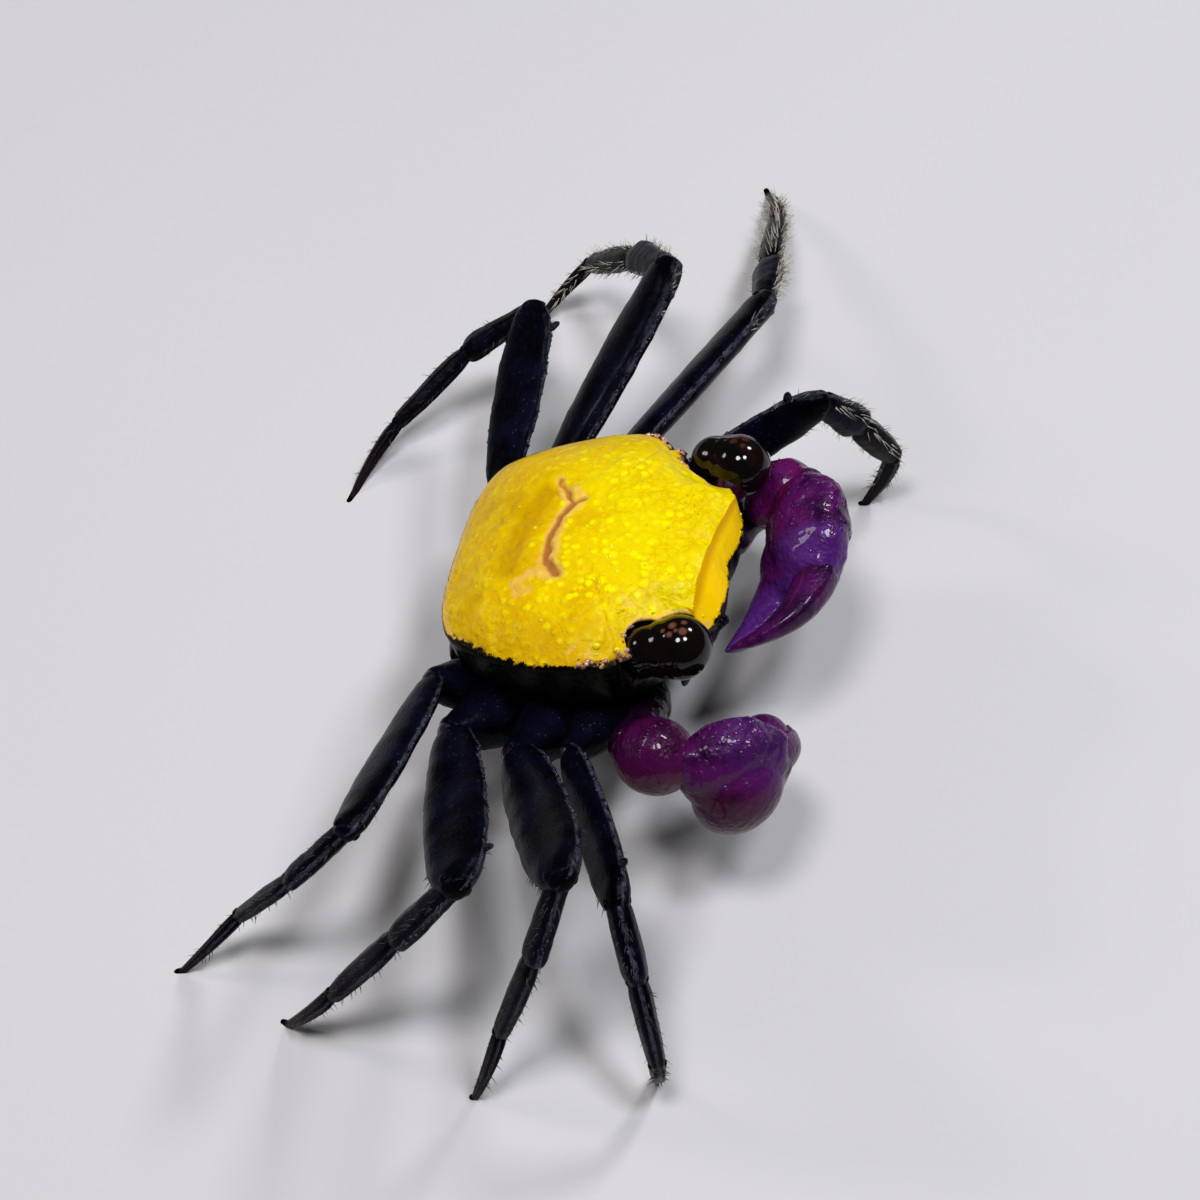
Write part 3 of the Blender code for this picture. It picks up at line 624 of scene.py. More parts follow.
@dataclass
class Finishes:
    """Every material of the crab, made once."""

    shell: bpy.types.Material = field(default_factory=lambda: ShellFinish().build())
    leg: bpy.types.Material = field(default_factory=lambda: LegFinish().build())
    claw: bpy.types.Material = field(default_factory=lambda: ClawFinish().build())
    underside: bpy.types.Material = field(default_factory=lambda: UndersideFinish().build())
    eye: bpy.types.Material = field(default_factory=lambda: EyeFinish().build())
    membrane: bpy.types.Material = field(
        default_factory=lambda: PlainFinish(
            "joint_skin", (0.008, 0.004, 0.008), (0.030, 0.014, 0.026), 1.2, 0.35, 0.2
        ).build()
    )
    claw_skin: bpy.types.Material = field(
        default_factory=lambda: PlainFinish(
            "claw_joint_skin", (0.05, 0.006, 0.045), (0.16, 0.05, 0.15), 1.2, 0.30, 0.4
        ).build()
    )
    # Tooth grains: the paler colour is partly their own pink and partly painted glint
    rust_grain: bpy.types.Material = field(
        default_factory=lambda: PlainFinish(
            "rust_grains", (0.12, 0.025, 0.012), (0.74, 0.40, 0.26), 2.2, 0.16, 1.0
        ).build()
    )
    gold_grain: bpy.types.Material = field(
        default_factory=lambda: PlainFinish(
            "gold_grains", (0.86, 0.62, 0.0), (0.96, 0.84, 0.01), 2.0, 0.28, 0.8
        ).build()
    )
    claw_grain: bpy.types.Material = field(
        default_factory=lambda: PlainFinish(
            "violet_grains", (0.050, 0.005, 0.060), (0.090, 0.009, 0.105), 2.2, 0.14, 0.35
        ).build()
    )
    horn_grain: bpy.types.Material = field(
        default_factory=lambda: PlainFinish(
            "horn_grains", (0.005, 0.0045, 0.010), (0.055, 0.050, 0.075), 2.2, 0.22, 0.4
        ).build()
    )
    # Pale bristles: a tan that is partly their own colour and partly painted backlight
    pale_bristle: bpy.types.Material = field(
        default_factory=lambda: PlainFinish(
            "pale_bristles", (0.26, 0.23, 0.18), (0.58, 0.54, 0.44), 1.0, 0.45, 0.1, 0.002
        ).build()
    )
    dark_bristle: bpy.types.Material = field(
        default_factory=lambda: PlainFinish(
            "dark_bristles", (0.012, 0.009, 0.010), (0.07, 0.055, 0.050), 1.0, 0.45, 0.1, 0.002
        ).build()
    )


# Meshes


class Skin:
    """A mesh drawn in millimetres, with the place and tone maps that its finish reads."""

    def __init__(self) -> None:
        """Starts an empty mesh."""
        self.bm = bmesh.new()
        self.place = self.bm.verts.layers.float_vector.new("place")
        self.tone = self.bm.verts.layers.float_vector.new("tone")

    def mark(self, verts: Sequence[bmesh.types.BMVert], tone: Tone = (0.0, 0.0, 0.0)) -> None:
        """Notes where new vertices are, with one tone for all."""
        for vert in verts:
            vert[self.place] = vert.co
            vert[self.tone] = tone

    def ball(self, around: int, along: int, shape: Callable[[int, float], Tuple[Vector, Tone]]) -> None:
        """Adds a ball and moves its grid of points onto a closed shape.

        Args:
            around: points in a ring.
            along: rings from pole to pole.
            shape: gives the place and tone for a ring's number and an angle about the poles.
        """
        made = bmesh.ops.create_uvsphere(self.bm, u_segments=around, v_segments=along, radius=1.0)
        for vert in made["verts"]:
            ring = round(math.acos(max(-1.0, min(1.0, vert.co.z))) / math.pi * along)
            angle = math.atan2(vert.co.y, vert.co.x) % math.tau
            vert.co, vert[self.tone] = shape(ring, angle)
            vert[self.place] = vert.co

    def knob(self, centre: Vector, radii: Vector, turn: Matrix, tone: Tone, finer: int = 2) -> None:
        """Adds a small rounded lump.

        Args:
            centre: its middle.
            radii: its half sizes along its own axes.
            turn: how it is turned.
            tone: its tone.
            finer: 1 for 20 faces, 2 for 80, 3 for 320.
        """
        place = Matrix.Translation(centre) @ turn.to_4x4() @ Matrix.Diagonal((*radii, 1.0))
        made = bmesh.ops.create_icosphere(self.bm, subdivisions=finer, radius=1.0, matrix=place)
        self.mark(made["verts"], tone)

    def melt(self, voxel: float, rounds: int, tone: Callable[[Vector], Tone]) -> None:
        """Melts surfaces that pass into each other into one skin.

        Args:
            voxel: the size of its cells.
            rounds: how often the result is smoothed.
            tone: the tone at a place.
        """
        mesh = bpy.data.meshes.new("melting")
        bmesh.ops.recalc_face_normals(self.bm, faces=self.bm.faces)
        self.bm.to_mesh(mesh)
        self.bm.free()
        holder = bpy.data.objects.new("melting", mesh)
        bpy.context.scene.collection.objects.link(holder)
        remesh = holder.modifiers.new("melt", "REMESH")
        remesh.mode = "VOXEL"
        remesh.voxel_size = voxel
        graph = bpy.context.evaluated_depsgraph_get()
        graph.update()
        melted = bpy.data.meshes.new_from_object(holder.evaluated_get(graph))
        self.__init__()
        self.bm.from_mesh(melted)
        bpy.data.objects.remove(holder)
        bpy.data.meshes.remove(mesh)
        bpy.data.meshes.remove(melted)
        for _ in range(rounds):
            bmesh.ops.smooth_vert(
                self.bm, verts=self.bm.verts, factor=0.5, use_axis_x=True, use_axis_y=True, use_axis_z=True
            )
        self.place = self.bm.verts.layers.float_vector.get("place") or self.bm.verts.layers.float_vector.new(
            "place"
        )
        self.tone = self.bm.verts.layers.float_vector.get("tone") or self.bm.verts.layers.float_vector.new(
            "tone"
        )
        for vert in self.bm.verts:
            vert[self.place] = vert.co
            vert[self.tone] = tone(vert.co)

    def tree(self) -> BVHTree:
        """The mesh as it is, for finding points on it."""
        return BVHTree.FromBMesh(self.bm)

    def finish(
        self,
        name: str,
        where: Matrix,
        material: bpy.types.Material,
        slot: Slot,
        nodes: Sequence[str] = (),
        level: bool = False,
    ) -> bpy.types.Object:
        """Puts the mesh in its place and hangs it on the crab.

        Args:
            name: the piece's name.
            where: its frame over the floor, in millimetres.
            material: its material.
            slot: the record's finish that it stands for; not used.
            nodes: the solids that it replaces.
            level: cut it off flat at the floor.

        Returns:
            The piece.
        """
        bmesh.ops.transform(self.bm, matrix=Matrix.Scale(MM, 4) @ where, verts=self.bm.verts)
        if level:
            low = [v for v in self.bm.verts if v.co.z < 0.0]
            for vert in low:
                vert.co.z = 0.0
        bmesh.ops.recalc_face_normals(self.bm, faces=self.bm.faces)
        mesh = bpy.data.meshes.new(name)
        self.bm.to_mesh(mesh)
        self.bm.free()
        mesh.shade_smooth()
        mesh.materials.append(material)
        made = bpy.data.objects.new(name, mesh)
        bpy.context.scene.collection.objects.link(made)
        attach(made, "root")
        if nodes:
            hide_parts(*nodes)
        log.info("%s: %d faces", name, len(mesh.polygons))
        return made


@dataclass
class Limb:
    """A limb piece drawn along x from rows of (share, outer, inner, side half sizes)."""

    where: Matrix
    length: float
    rows: Sequence[Row]
    scale: float = 1.0
    bow: float = 0.0
    crest: float = 0.0
    crest_step: float = 0.5
    ribs: float = 0.0
    grain: float = 0.03
    crown: float = 0.35
    keel: float = 0.82
    seed: float = 0.0

    def surface(self, share: float, angle: float, size: float = 1.0, out: float = 0.0) -> Vector:
        """A point of the piece's skin.

        Args:
            share: the place along the piece, 0 to 1 and a little over.
            angle: the angle about it, a quarter turn being its outer edge.
            size: how much of the section's size is left, for its rounded ends.
            out: how far past the last section, for its rounded ends.

        Returns:
            The point in the piece's frame.
        """
        outer, inner, side = (value * self.scale for value in smooth_row(self.rows, share))
        c, s = math.cos(angle), math.sin(angle)
        x = share * self.length + out
        z = (outer if s > 0 else inner) * s
        serration = 0.72 + 0.28 * math.sin(math.tau * x / self.crest_step)
        z += self.crest * serration * hill(math.atan2(c, s), 0.17)
        y = side * math.copysign(abs(c) ** self.keel, c)
        rib = 1 + self.ribs * math.cos(6 * angle)
        bend = self.bow * 4 * share * (1 - share)
        at = Vector((x, y * size * rib, z * size * rib))
        rough = noise.noise(at * 0.9 + Vector((self.seed, 3.1, 7.7))) * self.grain
        rough += noise.noise(at * 2.6 + Vector((9.2, self.seed, 1.3))) * self.grain * 0.5
        swell = 1 + rough / max(0.4, side) * size
        return Vector((at.x, at.y * swell, at.z * swell + bend))

    def normal(self, share: float, angle: float) -> Vector:
        """The way the skin faces at a point."""
        here = self.surface(share, angle)
        along = self.surface(share + 0.01, angle) - here
        about = self.surface(share, angle + 0.05) - here
        facing = about.cross(along).normalized()
        spine = Vector((here.x, 0.0, self.bow * 4 * share * (1 - share)))
        return facing if facing.dot(here - spine) > 0 else -facing

    def add_to(
        self, skin: Skin, around: int, along: int, tone: Optional[Callable[[float, float], Tone]] = None
    ) -> None:
        """Adds the piece to a skin.

        Args:
            skin: the skin.
            around: points in a ring.
            along: rings from end to end.
            tone: the tone at a share and an angle; by default the keels, the share, and no claw.
        """
        caps = 5
        first, last = self.rows[0][0], self.rows[-1][0]

        def at(ring: int, turn: float) -> Tuple[Vector, Tone]:
            """The place and tone of one point."""
            angle = turn + 0.24 * math.sin(2 * turn)
            size, out, share = 1.0, 0.0, 0.0
            if ring <= caps:
                bend = math.pi / 2 * ring / caps
                share, size, out = first, math.sin(bend), -self.crown * math.cos(bend)
            elif ring >= along - caps:
                bend = math.pi / 2 * (along - ring) / caps
                share, size, out = last, math.sin(bend), self.crown * math.cos(bend)
            else:
                share = first + (last - first) * (ring - caps) / (along - 2 * caps)
            where = self.surface(share, angle, size, out)
            return where, (tone or self.keel_tone)(share, angle)

        skin.ball(around, along, at)

    @staticmethod
    def keel_tone(share: float, angle: float) -> Tone:
        """How near the outer and inner keel are, and the share along the piece."""
        turn = angle % math.tau
        near = max(hill(turn - math.pi / 2, 0.30), 0.8 * hill(turn - 1.5 * math.pi, 0.34))
        return (near, max(0.0, min(1.0, share)), 0.0)


# The walking legs

HIP = ((0.0, 0.85, 0.90, 1.00), (0.35, 0.92, 0.98, 0.98), (0.7, 0.78, 0.84, 0.74), (1.0, 0.54, 0.54, 0.46))
THIGH = (
    (0.0, 0.40, 0.36, 0.34),
    (0.07, 0.66, 0.58, 0.40),
    (0.22, 0.88, 0.78, 0.42),
    (0.50, 1.04, 0.94, 0.43),
    (0.74, 1.04, 0.94, 0.42),
    (0.90, 0.90, 0.80, 0.42),
    (0.98, 0.72, 0.62, 0.44),
    (1.03, 0.46, 0.40, 0.36),
)
SHIN = (
    (0.0, 0.60, 0.54, 0.50),
    (0.07, 0.74, 0.60, 0.56),
    (0.16, 0.80, 0.66, 0.60),
    (0.5, 0.94, 0.76, 0.63),
    (0.85, 1.08, 0.90, 0.64),
    (0.97, 0.96, 0.80, 0.58),
    (1.03, 0.62, 0.54, 0.46),
)
FOOT = (
    (0.0, 0.52, 0.46, 0.42),
    (0.08, 0.68, 0.58, 0.47),
    (0.18, 0.80, 0.70, 0.52),
    (0.5, 0.84, 0.72, 0.52),
    (0.85, 0.72, 0.60, 0.46),
    (0.97, 0.62, 0.52, 0.42),
    (1.03, 0.42, 0.38, 0.34),
)
CLAW = (
    (0.0, 0.38, 0.38, 0.35),
    (0.14, 0.50, 0.45, 0.40),
    (0.45, 0.42, 0.38, 0.35),
    (0.78, 0.30, 0.27, 0.26),
    (1.06, 0.16, 0.16, 0.16),
)
TIP_DEPTH = 0.12

LEG_NAMES = ("leg2", "leg3", "leg4", "leg5")
LEG_HIPS = ((2.7, 4.3, -5.9), (0.75, 4.4, -5.9), (-1.25, 4.4, -5.9), (-3.15, 4.0, -5.8))
LEG_LENGTHS = (
    (9.0, 3.4, 4.2, 3.9),
    (11.5, 4.5, 5.3, 4.7),
    (11.2, 4.6, 5.4, 4.5),
    (9.7, 4.1, 4.9, 4.3),
)
LEG_HEIGHTS = ((2.5, 1.8), (3.1, 1.7), (3.1, 1.7), (2.6, 1.5))
LEG_ROOTS = {
    (0, Side.RIGHT): (1.4, 8.6, -4.8),
    (1, Side.RIGHT): (-0.9, 9.1, -4.7),
    (2, Side.RIGHT): (-3.9, 8.4, -4.2),
    (3, Side.RIGHT): (-5.1, 6.2, -3.3),
    (0, Side.LEFT): (2.1, 7.6, -5.0),
    (1, Side.LEFT): (-0.1, 9.1, -4.3),
    (2, Side.LEFT): (-3.2, 8.7, -4.8),
    (3, Side.LEFT): (-5.2, 6.7, -3.8),
}
# Heading from straight ahead, rise of the thigh, turn of the bending plane towards the rear, the bends
# at the knee, at the shin's end and at the foot's end, and the twist of the thigh, in degrees
LEG_POSES = {
    (0, Side.RIGHT): (65, 1, 0, 57, 14, 37, -30),
    (1, Side.RIGHT): (64, 20, 25, 106, 10, -3, -28),
    (2, Side.RIGHT): (73, 13, 43, 108, 2, 5, -22),
    (3, Side.RIGHT): (97, 6, 44, 80, 18, 2, -11),
    (0, Side.LEFT): (19, 27, 19, 86, 6, 44, -14),
    (1, Side.LEFT): (62, 8, 57, 42, -1, 30, -10),
    (2, Side.LEFT): (59, 34, 56, 89, 11, 55, 7),
    (3, Side.LEFT): (90, 18, 62, 108, 20, 27, 10),
}


@dataclass
class LegPose:
    """The joints of one leg over the floor, and the direction each of its pieces takes."""

    pair: int
    side: Side
    hip: Vector = field(init=False)
    joints: List[Vector] = field(init=False)
    bends: List[float] = field(init=False)

    def __post_init__(self) -> None:
        """Works out the joints from the hip to the tip."""
        key = (self.pair, self.side)
        heading, rises, turn, knee, wrist, self.ankle, self.twist = (math.radians(a) for a in LEG_POSES[key])
        thigh, shin, foot, claw = LEG_LENGTHS[self.pair]
        heading *= self.side.value
        level = math.cos(rises)
        ahead = Vector((level * math.cos(heading), level * math.sin(heading), math.sin(rises)))
        down = (Vector((0, 0, -1)) + ahead * math.sin(rises)).normalized()
        rear = ahead.cross(down) * self.side.value
        turned = down * math.cos(turn) + rear * math.sin(turn)
        rotation = BODY.to_3x3()
        self.ahead, self.inward = rotation @ ahead, rotation @ turned
        self.hip = BODY @ mirrored(LEG_HIPS[self.pair], self.side)
        self.joints = [BODY @ mirrored(LEG_ROOTS[key], self.side)]
        self.bends = [0.0, knee, knee + wrist]
        for length, bend in zip((thigh, shin, foot), self.bends):
            self.joints.append(self.joints[-1] + self.direction(bend) * length)
        self.bends.append(self.bend_to_floor(self.joints[-1].z + TIP_DEPTH, claw))
        self.joints.append(self.joints[-1] + self.direction(self.bends[-1]) * claw)

    def direction(self, bend: float) -> Vector:
        """The way a piece points after this much bend."""
        return self.ahead * math.cos(bend) + self.inward * math.sin(bend)

    def outer(self, bend: float, twist: float = 0.0) -> Vector:
        """The way a piece's outer edge faces, turned about the piece by the twist."""
        along = self.direction(bend)
        out = self.ahead * math.sin(bend) - self.inward * math.cos(bend)
        return out * math.cos(twist) + along.cross(out) * math.sin(twist)

    def bend_to_floor(self, height: float, length: float) -> float:
        """The bend at which a piece comes down to the floor.

        Args:
            height: how high its root is.
            length: how long it is.

        Returns:
            The bend, in radians.
        """
        steepest = math.atan2(self.inward.z, self.ahead.z)
        reach = math.hypot(self.inward.z, self.ahead.z)
        spare = math.acos(max(-1.0, min(1.0, -height / (length * reach))))
        wanted = self.bends[-1] + self.ankle
        return min(
            (c % math.tau for c in (steepest + spare, steepest - spare)), key=lambda c: abs(c - wanted)
        )


class Coat(Enum):
    """How bristly a leg is: bristles a millimetre, their length, and whether they are pale, a tan that is
    partly painted backlight.
    """

    PALE = (18, 0.72, True)
    FRINGE = (10, 0.55, True)
    SHORT = (6, 0.40, False)


LEG_COATS = {(1, Side.LEFT): Coat.PALE, (0, Side.LEFT): Coat.FRINGE, (2, Side.LEFT): Coat.FRINGE}


class Bristles:
    """Bristles of one leg, joined in one mesh."""

    PATCH = 0.003

    def __init__(self, seed: int) -> None:
        """Starts with no bristle."""
        self.skin = Skin()
        self.draw = random.Random(seed)
        self.template = self.one()
        self.map = self.skin.bm.loops.layers.uv.new("OFBake")
        self.count = 0

    @staticmethod
    def one() -> bpy.types.Mesh:
        """A bristle of length 1 and root radius 1, bent a little, as a pattern for the rest."""
        bm = bmesh.new()
        bmesh.ops.create_cone(bm, cap_ends=True, segments=4, radius1=1.0, radius2=0.16, depth=1.0)
        bmesh.ops.translate(bm, vec=(0, 0, 0.5), verts=bm.verts)
        rails = [e for e in bm.edges if abs(e.verts[0].co.z - e.verts[1].co.z) > 0.5]
        bmesh.ops.subdivide_edges(bm, edges=rails, cuts=2, use_grid_fill=True)
        mesh = bpy.data.meshes.new("bristle")
        bm.to_mesh(mesh)
        bm.free()
        return mesh

    def add(self, root: Vector, way: Vector, lean: Vector, length: float, radius: float, uv: Vector) -> None:
        """Adds a bristle.

        Args:
            root: where it grows.
            way: the way it leaves the skin.
            lean: the way its tip leans.
            length: its length.
            radius: its radius at the root.
            uv: its root's place on the unwrapped skin.
        """
        if (root + (way + lean * 0.32) * length).z < 0.05:
            return
        bm = self.skin.bm
        before_verts, before_faces = len(bm.verts), len(bm.faces)
        bm.from_mesh(self.template)
        bm.verts.ensure_lookup_table()
        bm.faces.ensure_lookup_table()
        turn = way.to_track_quat("Z", "Y").to_matrix()
        for vert in bm.verts[before_verts:]:
            share = vert.co.z
            across = turn @ Vector((vert.co.x * radius, vert.co.y * radius, 0.0))
            vert.co = root + way * (share * length) + lean * (0.32 * length * share * share) + across
            vert[self.skin.place] = vert.co
        for face in bm.faces[before_faces:]:
            for k, loop in enumerate(face.loops):
                corner = Vector((k in (1, 2), k in (2, 3))) * self.PATCH
                loop[self.map].uv = uv + corner
        self.count += 1

    def along(
        self, limb: Limb, coat: Coat, part: int, ends: Tuple[float, float], rings: Sequence[float]
    ) -> None:
        """Sets rows of bristles along a limb piece.

        Args:
            limb: the piece.
            coat: how dense, long and pale they are.
            part: which quarter of the unwrapped skin the piece has.
            ends: the shares of the piece between which they grow.
            rings: the angles of the rows about the piece.
        """
        density, length, _ = coat.value
        stretch = (ends[1] - ends[0]) * limb.length
        for angle in rings:
            for _ in range(round(stretch * density / len(rings) * 2.0)):
                share = self.draw.uniform(*ends)
                turn = angle + self.draw.gauss(0.0, 0.16)
                root = limb.surface(share, turn) - limb.normal(share, turn) * 0.03
                swing = Vector([self.draw.gauss(0.0, 0.22) for _ in range(3)])
                way = (limb.normal(share, turn) + Vector((0.55, 0, 0)) + swing).normalized()
                size = length * self.draw.uniform(0.45, 1.0)
                uv = Vector(((part + (turn / math.tau) % 1.0 * 0.9) / 4, 0.05 + 0.9 * min(1, max(0, share))))
                where = limb.where
                self.add(
                    where @ root,
                    where.to_3x3() @ way,
                    where.to_3x3() @ Vector((1, 0, 0)),
                    size,
                    0.020 + 0.010 * self.draw.random(),
                    uv,
                )


@dataclass
class WalkingLeg:
    """One walking leg: hip, thigh, shin, foot and claw, with knuckles, grains and bristles."""

    pair: int
    side: Side
    finishes: Finishes
    around: int = 40
    along: int = 48

    def __post_init__(self) -> None:
        """Sets out the leg's pieces."""
        self.pose = LegPose(self.pair, self.side)
        self.name = f"{LEG_NAMES[self.pair]}_{self.side.label}"
        thigh, shin = (height / 2 for height in LEG_HEIGHTS[self.pair])
        pose, seed = self.pose, self.pair * 3.7 + self.side.value
        hip_frame = frame_along(pose.hip, pose.joints[0], Vector((0, 0, 1)))
        hip_length = (pose.joints[0] - pose.hip).length
        self.limbs = {"base": Limb(hip_frame, hip_length, HIP, thigh, crest=0.03, grain=0.06, seed=seed)}
        plans = (
            ("merus", THIGH, thigh, 0.0, 0.09, 0.0, 0.035, 0.30),
            ("carpus", SHIN, shin, 0.0, 0.05, 0.035, 0.035, 0.26),
            ("propodus", FOOT, shin, 0.0, 0.03, 0.045, 0.025, 0.24),
            ("dactyl", CLAW, shin, 0.22, 0.0, 0.075, 0.012, 0.20),
        )
        for index, (piece, rows, scale, bow, crest, ribs, grain, crown) in enumerate(plans):
            start, end = pose.joints[index], pose.joints[index + 1]
            outer = pose.outer(pose.bends[index], pose.twist if piece == "merus" else 0.0)
            self.limbs[piece] = Limb(
                frame_along(start, end, outer),
                (end - start).length,
                rows,
                scale,
                bow=bow,
                crest=crest,
                ribs=ribs,
                grain=grain,
                crown=crown,
                seed=seed + index,
            )

    def build(self) -> None:
        """Makes every piece of the leg."""
        for piece, limb in self.limbs.items():
            skin = Skin()
            claw = 1.0 if piece == "dactyl" else 0.25 if piece == "propodus" else 0.0
            # The hips get none of the painted keel glint
            painted_keel_glint = 0.0 if piece == "base" else 1.0

            def tone(share: float, angle: float) -> Tone:
                """The keel, the share along the piece and how much of a claw it is."""
                keel, along, _ = Limb.keel_tone(share, angle)
                return (keel * painted_keel_glint, along, claw)

            limb.add_to(skin, self.around, self.along, tone)
            if piece == "merus":
                self.add_spur(skin, limb)
            skin.finish(
                f"{self.name}_{piece}_skin",
                limb.where,
                self.finishes.leg,
                Slot.LEG,
                [f"{self.name}_{piece}"],
                level=piece == "dactyl",
            )
        self.build_knuckles()
        self.build_grains()
        self.build_bristles()

    def add_spur(self, skin: Skin, limb: Limb) -> None:
        """Adds the tooth near the far end of the thigh's outer edge."""
        root = Vector((0.86 * limb.length, 0, 0.62 * limb.scale))
        tip = root + Vector((0.5, 0, 0.32 * limb.scale + 0.45))
        middle, way = (root + tip) / 2, (tip - root)
        turn = way.to_track_quat("X", "Z").to_matrix()
        skin.knob(middle, Vector((way.length * 0.52, 0.15, 0.22)), turn, (0.8, 0.8, 0.0), 3)

    def build_knuckles(self) -> None:
        """Makes the skin and the hinge knobs between the leg's pieces."""
        skin = Skin()
        thigh, shin = (height / 2 for height in LEG_HEIGHTS[self.pair])
        for index, joint in enumerate(self.pose.joints[:4]):
            size = (0.42 * thigh, 0.52 * shin, 0.50 * shin, 0.36 * shin)[index]
            turn = frame_along(
                joint, self.pose.joints[index + 1], self.pose.outer(self.pose.bends[index])
            ).to_3x3()
            skin.knob(joint, Vector((size * 1.15, size * 0.95, size)), turn, (0.0, 0.0, 0.0), 3)
        skin.finish(f"{self.name}_joint_skin", Matrix(), self.finishes.membrane, Slot.LEG)
        knobs = Skin()
        for index, joint in enumerate(self.pose.joints[1:4], start=1):
            half = (0.40 * thigh, 0.46 * shin, 0.36 * shin)[index - 1]
            turn = frame_along(
                joint, self.pose.joints[index + 1], self.pose.outer(self.pose.bends[index])
            ).to_3x3()
            for across in (-1, 1):
                centre = joint + turn @ Vector((0.0, across * half, 0.12 * half))
                knobs.knob(centre, Vector((0.30, 0.13, 0.24)) * (0.6 + 0.4 * half), turn, (0.2, 0.9, 0.0), 3)
        knobs.finish(f"{self.name}_hinge_knobs", Matrix(), self.finishes.leg, Slot.LEG)

    def build_grains(self) -> None:
        """Makes the row of fine grains along the thigh's crest and the shin's outer edge."""
        skin = Skin()
        draw = random.Random(91 + self.pair * 2 + self.side.value)
        for piece, ends, step in (("merus", (0.12, 0.93), 0.27), ("carpus", (0.15, 0.95), 0.34)):
            limb = self.limbs[piece]
            count = round((ends[1] - ends[0]) * limb.length / step)
            for k in range(count):
                for edge, chance in ((math.pi / 2, 1.0), (1.5 * math.pi, 0.55)):
                    if draw.random() > chance:
                        continue
                    share = ends[0] + (ends[1] - ends[0]) * (k + draw.uniform(0.1, 0.9)) / count
                    turn = edge + draw.gauss(0.0, 0.07)
                    root = limb.surface(share, turn)
                    size = draw.uniform(0.035, 0.062)
                    spot = limb.where @ root
                    radii = Vector((size * 1.5, size, size * 0.9))
                    skin.knob(spot, radii, limb.where.to_3x3(), (1, 0.5, 0), 2)
        skin.finish(f"{self.name}_grains", Matrix(), self.finishes.horn_grain, Slot.LEG)

    def build_bristles(self) -> None:
        """Makes the leg's bristles."""
        coat = LEG_COATS.get((self.pair, self.side), Coat.SHORT)
        bristles = Bristles(1000 + self.pair * 10 + self.side.value)
        quarter = math.pi / 2
        bristles.along(self.limbs["merus"], Coat.SHORT, 0, (0.80, 1.0), (quarter, 3 * quarter))
        bristles.along(self.limbs["carpus"], coat, 1, (0.12, 1.0), (quarter, quarter + 0.7, 3 * quarter))
        rows = (quarter, quarter + 0.9, quarter - 0.9, 3 * quarter, 3 * quarter + 0.7)
        bristles.along(self.limbs["propodus"], coat, 2, (0.05, 1.0), rows)
        bristles.along(self.limbs["dactyl"], coat, 3, (0.04, 0.72), rows)
        material = self.finishes.pale_bristle if coat.value[2] else self.finishes.dark_bristle
        bristles.skin.finish(f"{self.name}_bristles", Matrix(), material, Slot.LEG)


# The claws

COXA = ((0.0, 1.0, 1.0, 1.0), (0.4, 1.15, 1.1, 1.1), (1.0, 0.8, 0.8, 0.75))
ARM = (
    (0.0, 0.75, 0.75, 0.70),
    (0.20, 0.95, 0.95, 0.88),
    (0.65, 1.05, 1.0, 0.95),
    (0.95, 1.0, 0.95, 0.92),
    (1.06, 0.6, 0.6, 0.6),
)
WRIST = (
    (0.0, 0.8, 0.8, 0.8),
    (0.20, 1.35, 1.25, 1.3),
    (0.60, 1.62, 1.48, 1.52),
    (0.90, 1.3, 1.2, 1.2),
    (1.04, 0.75, 0.7, 0.7),
)
PALM = (
    (-0.02, 0.95, 0.75, 0.75),
    (0.08, 1.80, 1.20, 1.15),
    (0.30, 2.60, 1.80, 1.50),
    (0.62, 2.75, 2.40, 1.60),
    (0.88, 2.40, 2.50, 1.45),
    (1.04, 1.70, 2.15, 1.10),
)
CLAW_JOINTS = {
    Side.LEFT: {
        "root": Vector((5.0, 4.9, -6.0)),
        "elbow": Vector((6.5, 8.0, -5.6)),
        "wrist": Vector((9.3, 7.1, -3.1)),
        "knuckle": Vector((9.9, 1.9, -4.7)),
        "tip": Vector((7.2, -1.8, -4.9)),
        "back": Vector((0.62, 0.0, 0.78)),
    },
    Side.RIGHT: {
        "root": Vector((4.3, -5.1, -5.7)),
        "elbow": Vector((4.0, -8.6, -4.4)),
        "wrist": Vector((6.7, -9.3, -4.3)),
        "knuckle": Vector((9.6, -7.5, -6.7)),
        "tip": Vector((8.1, -3.9, -7.7)),
        "back": Vector((0.35, 0.1, 0.93)),
    },
}


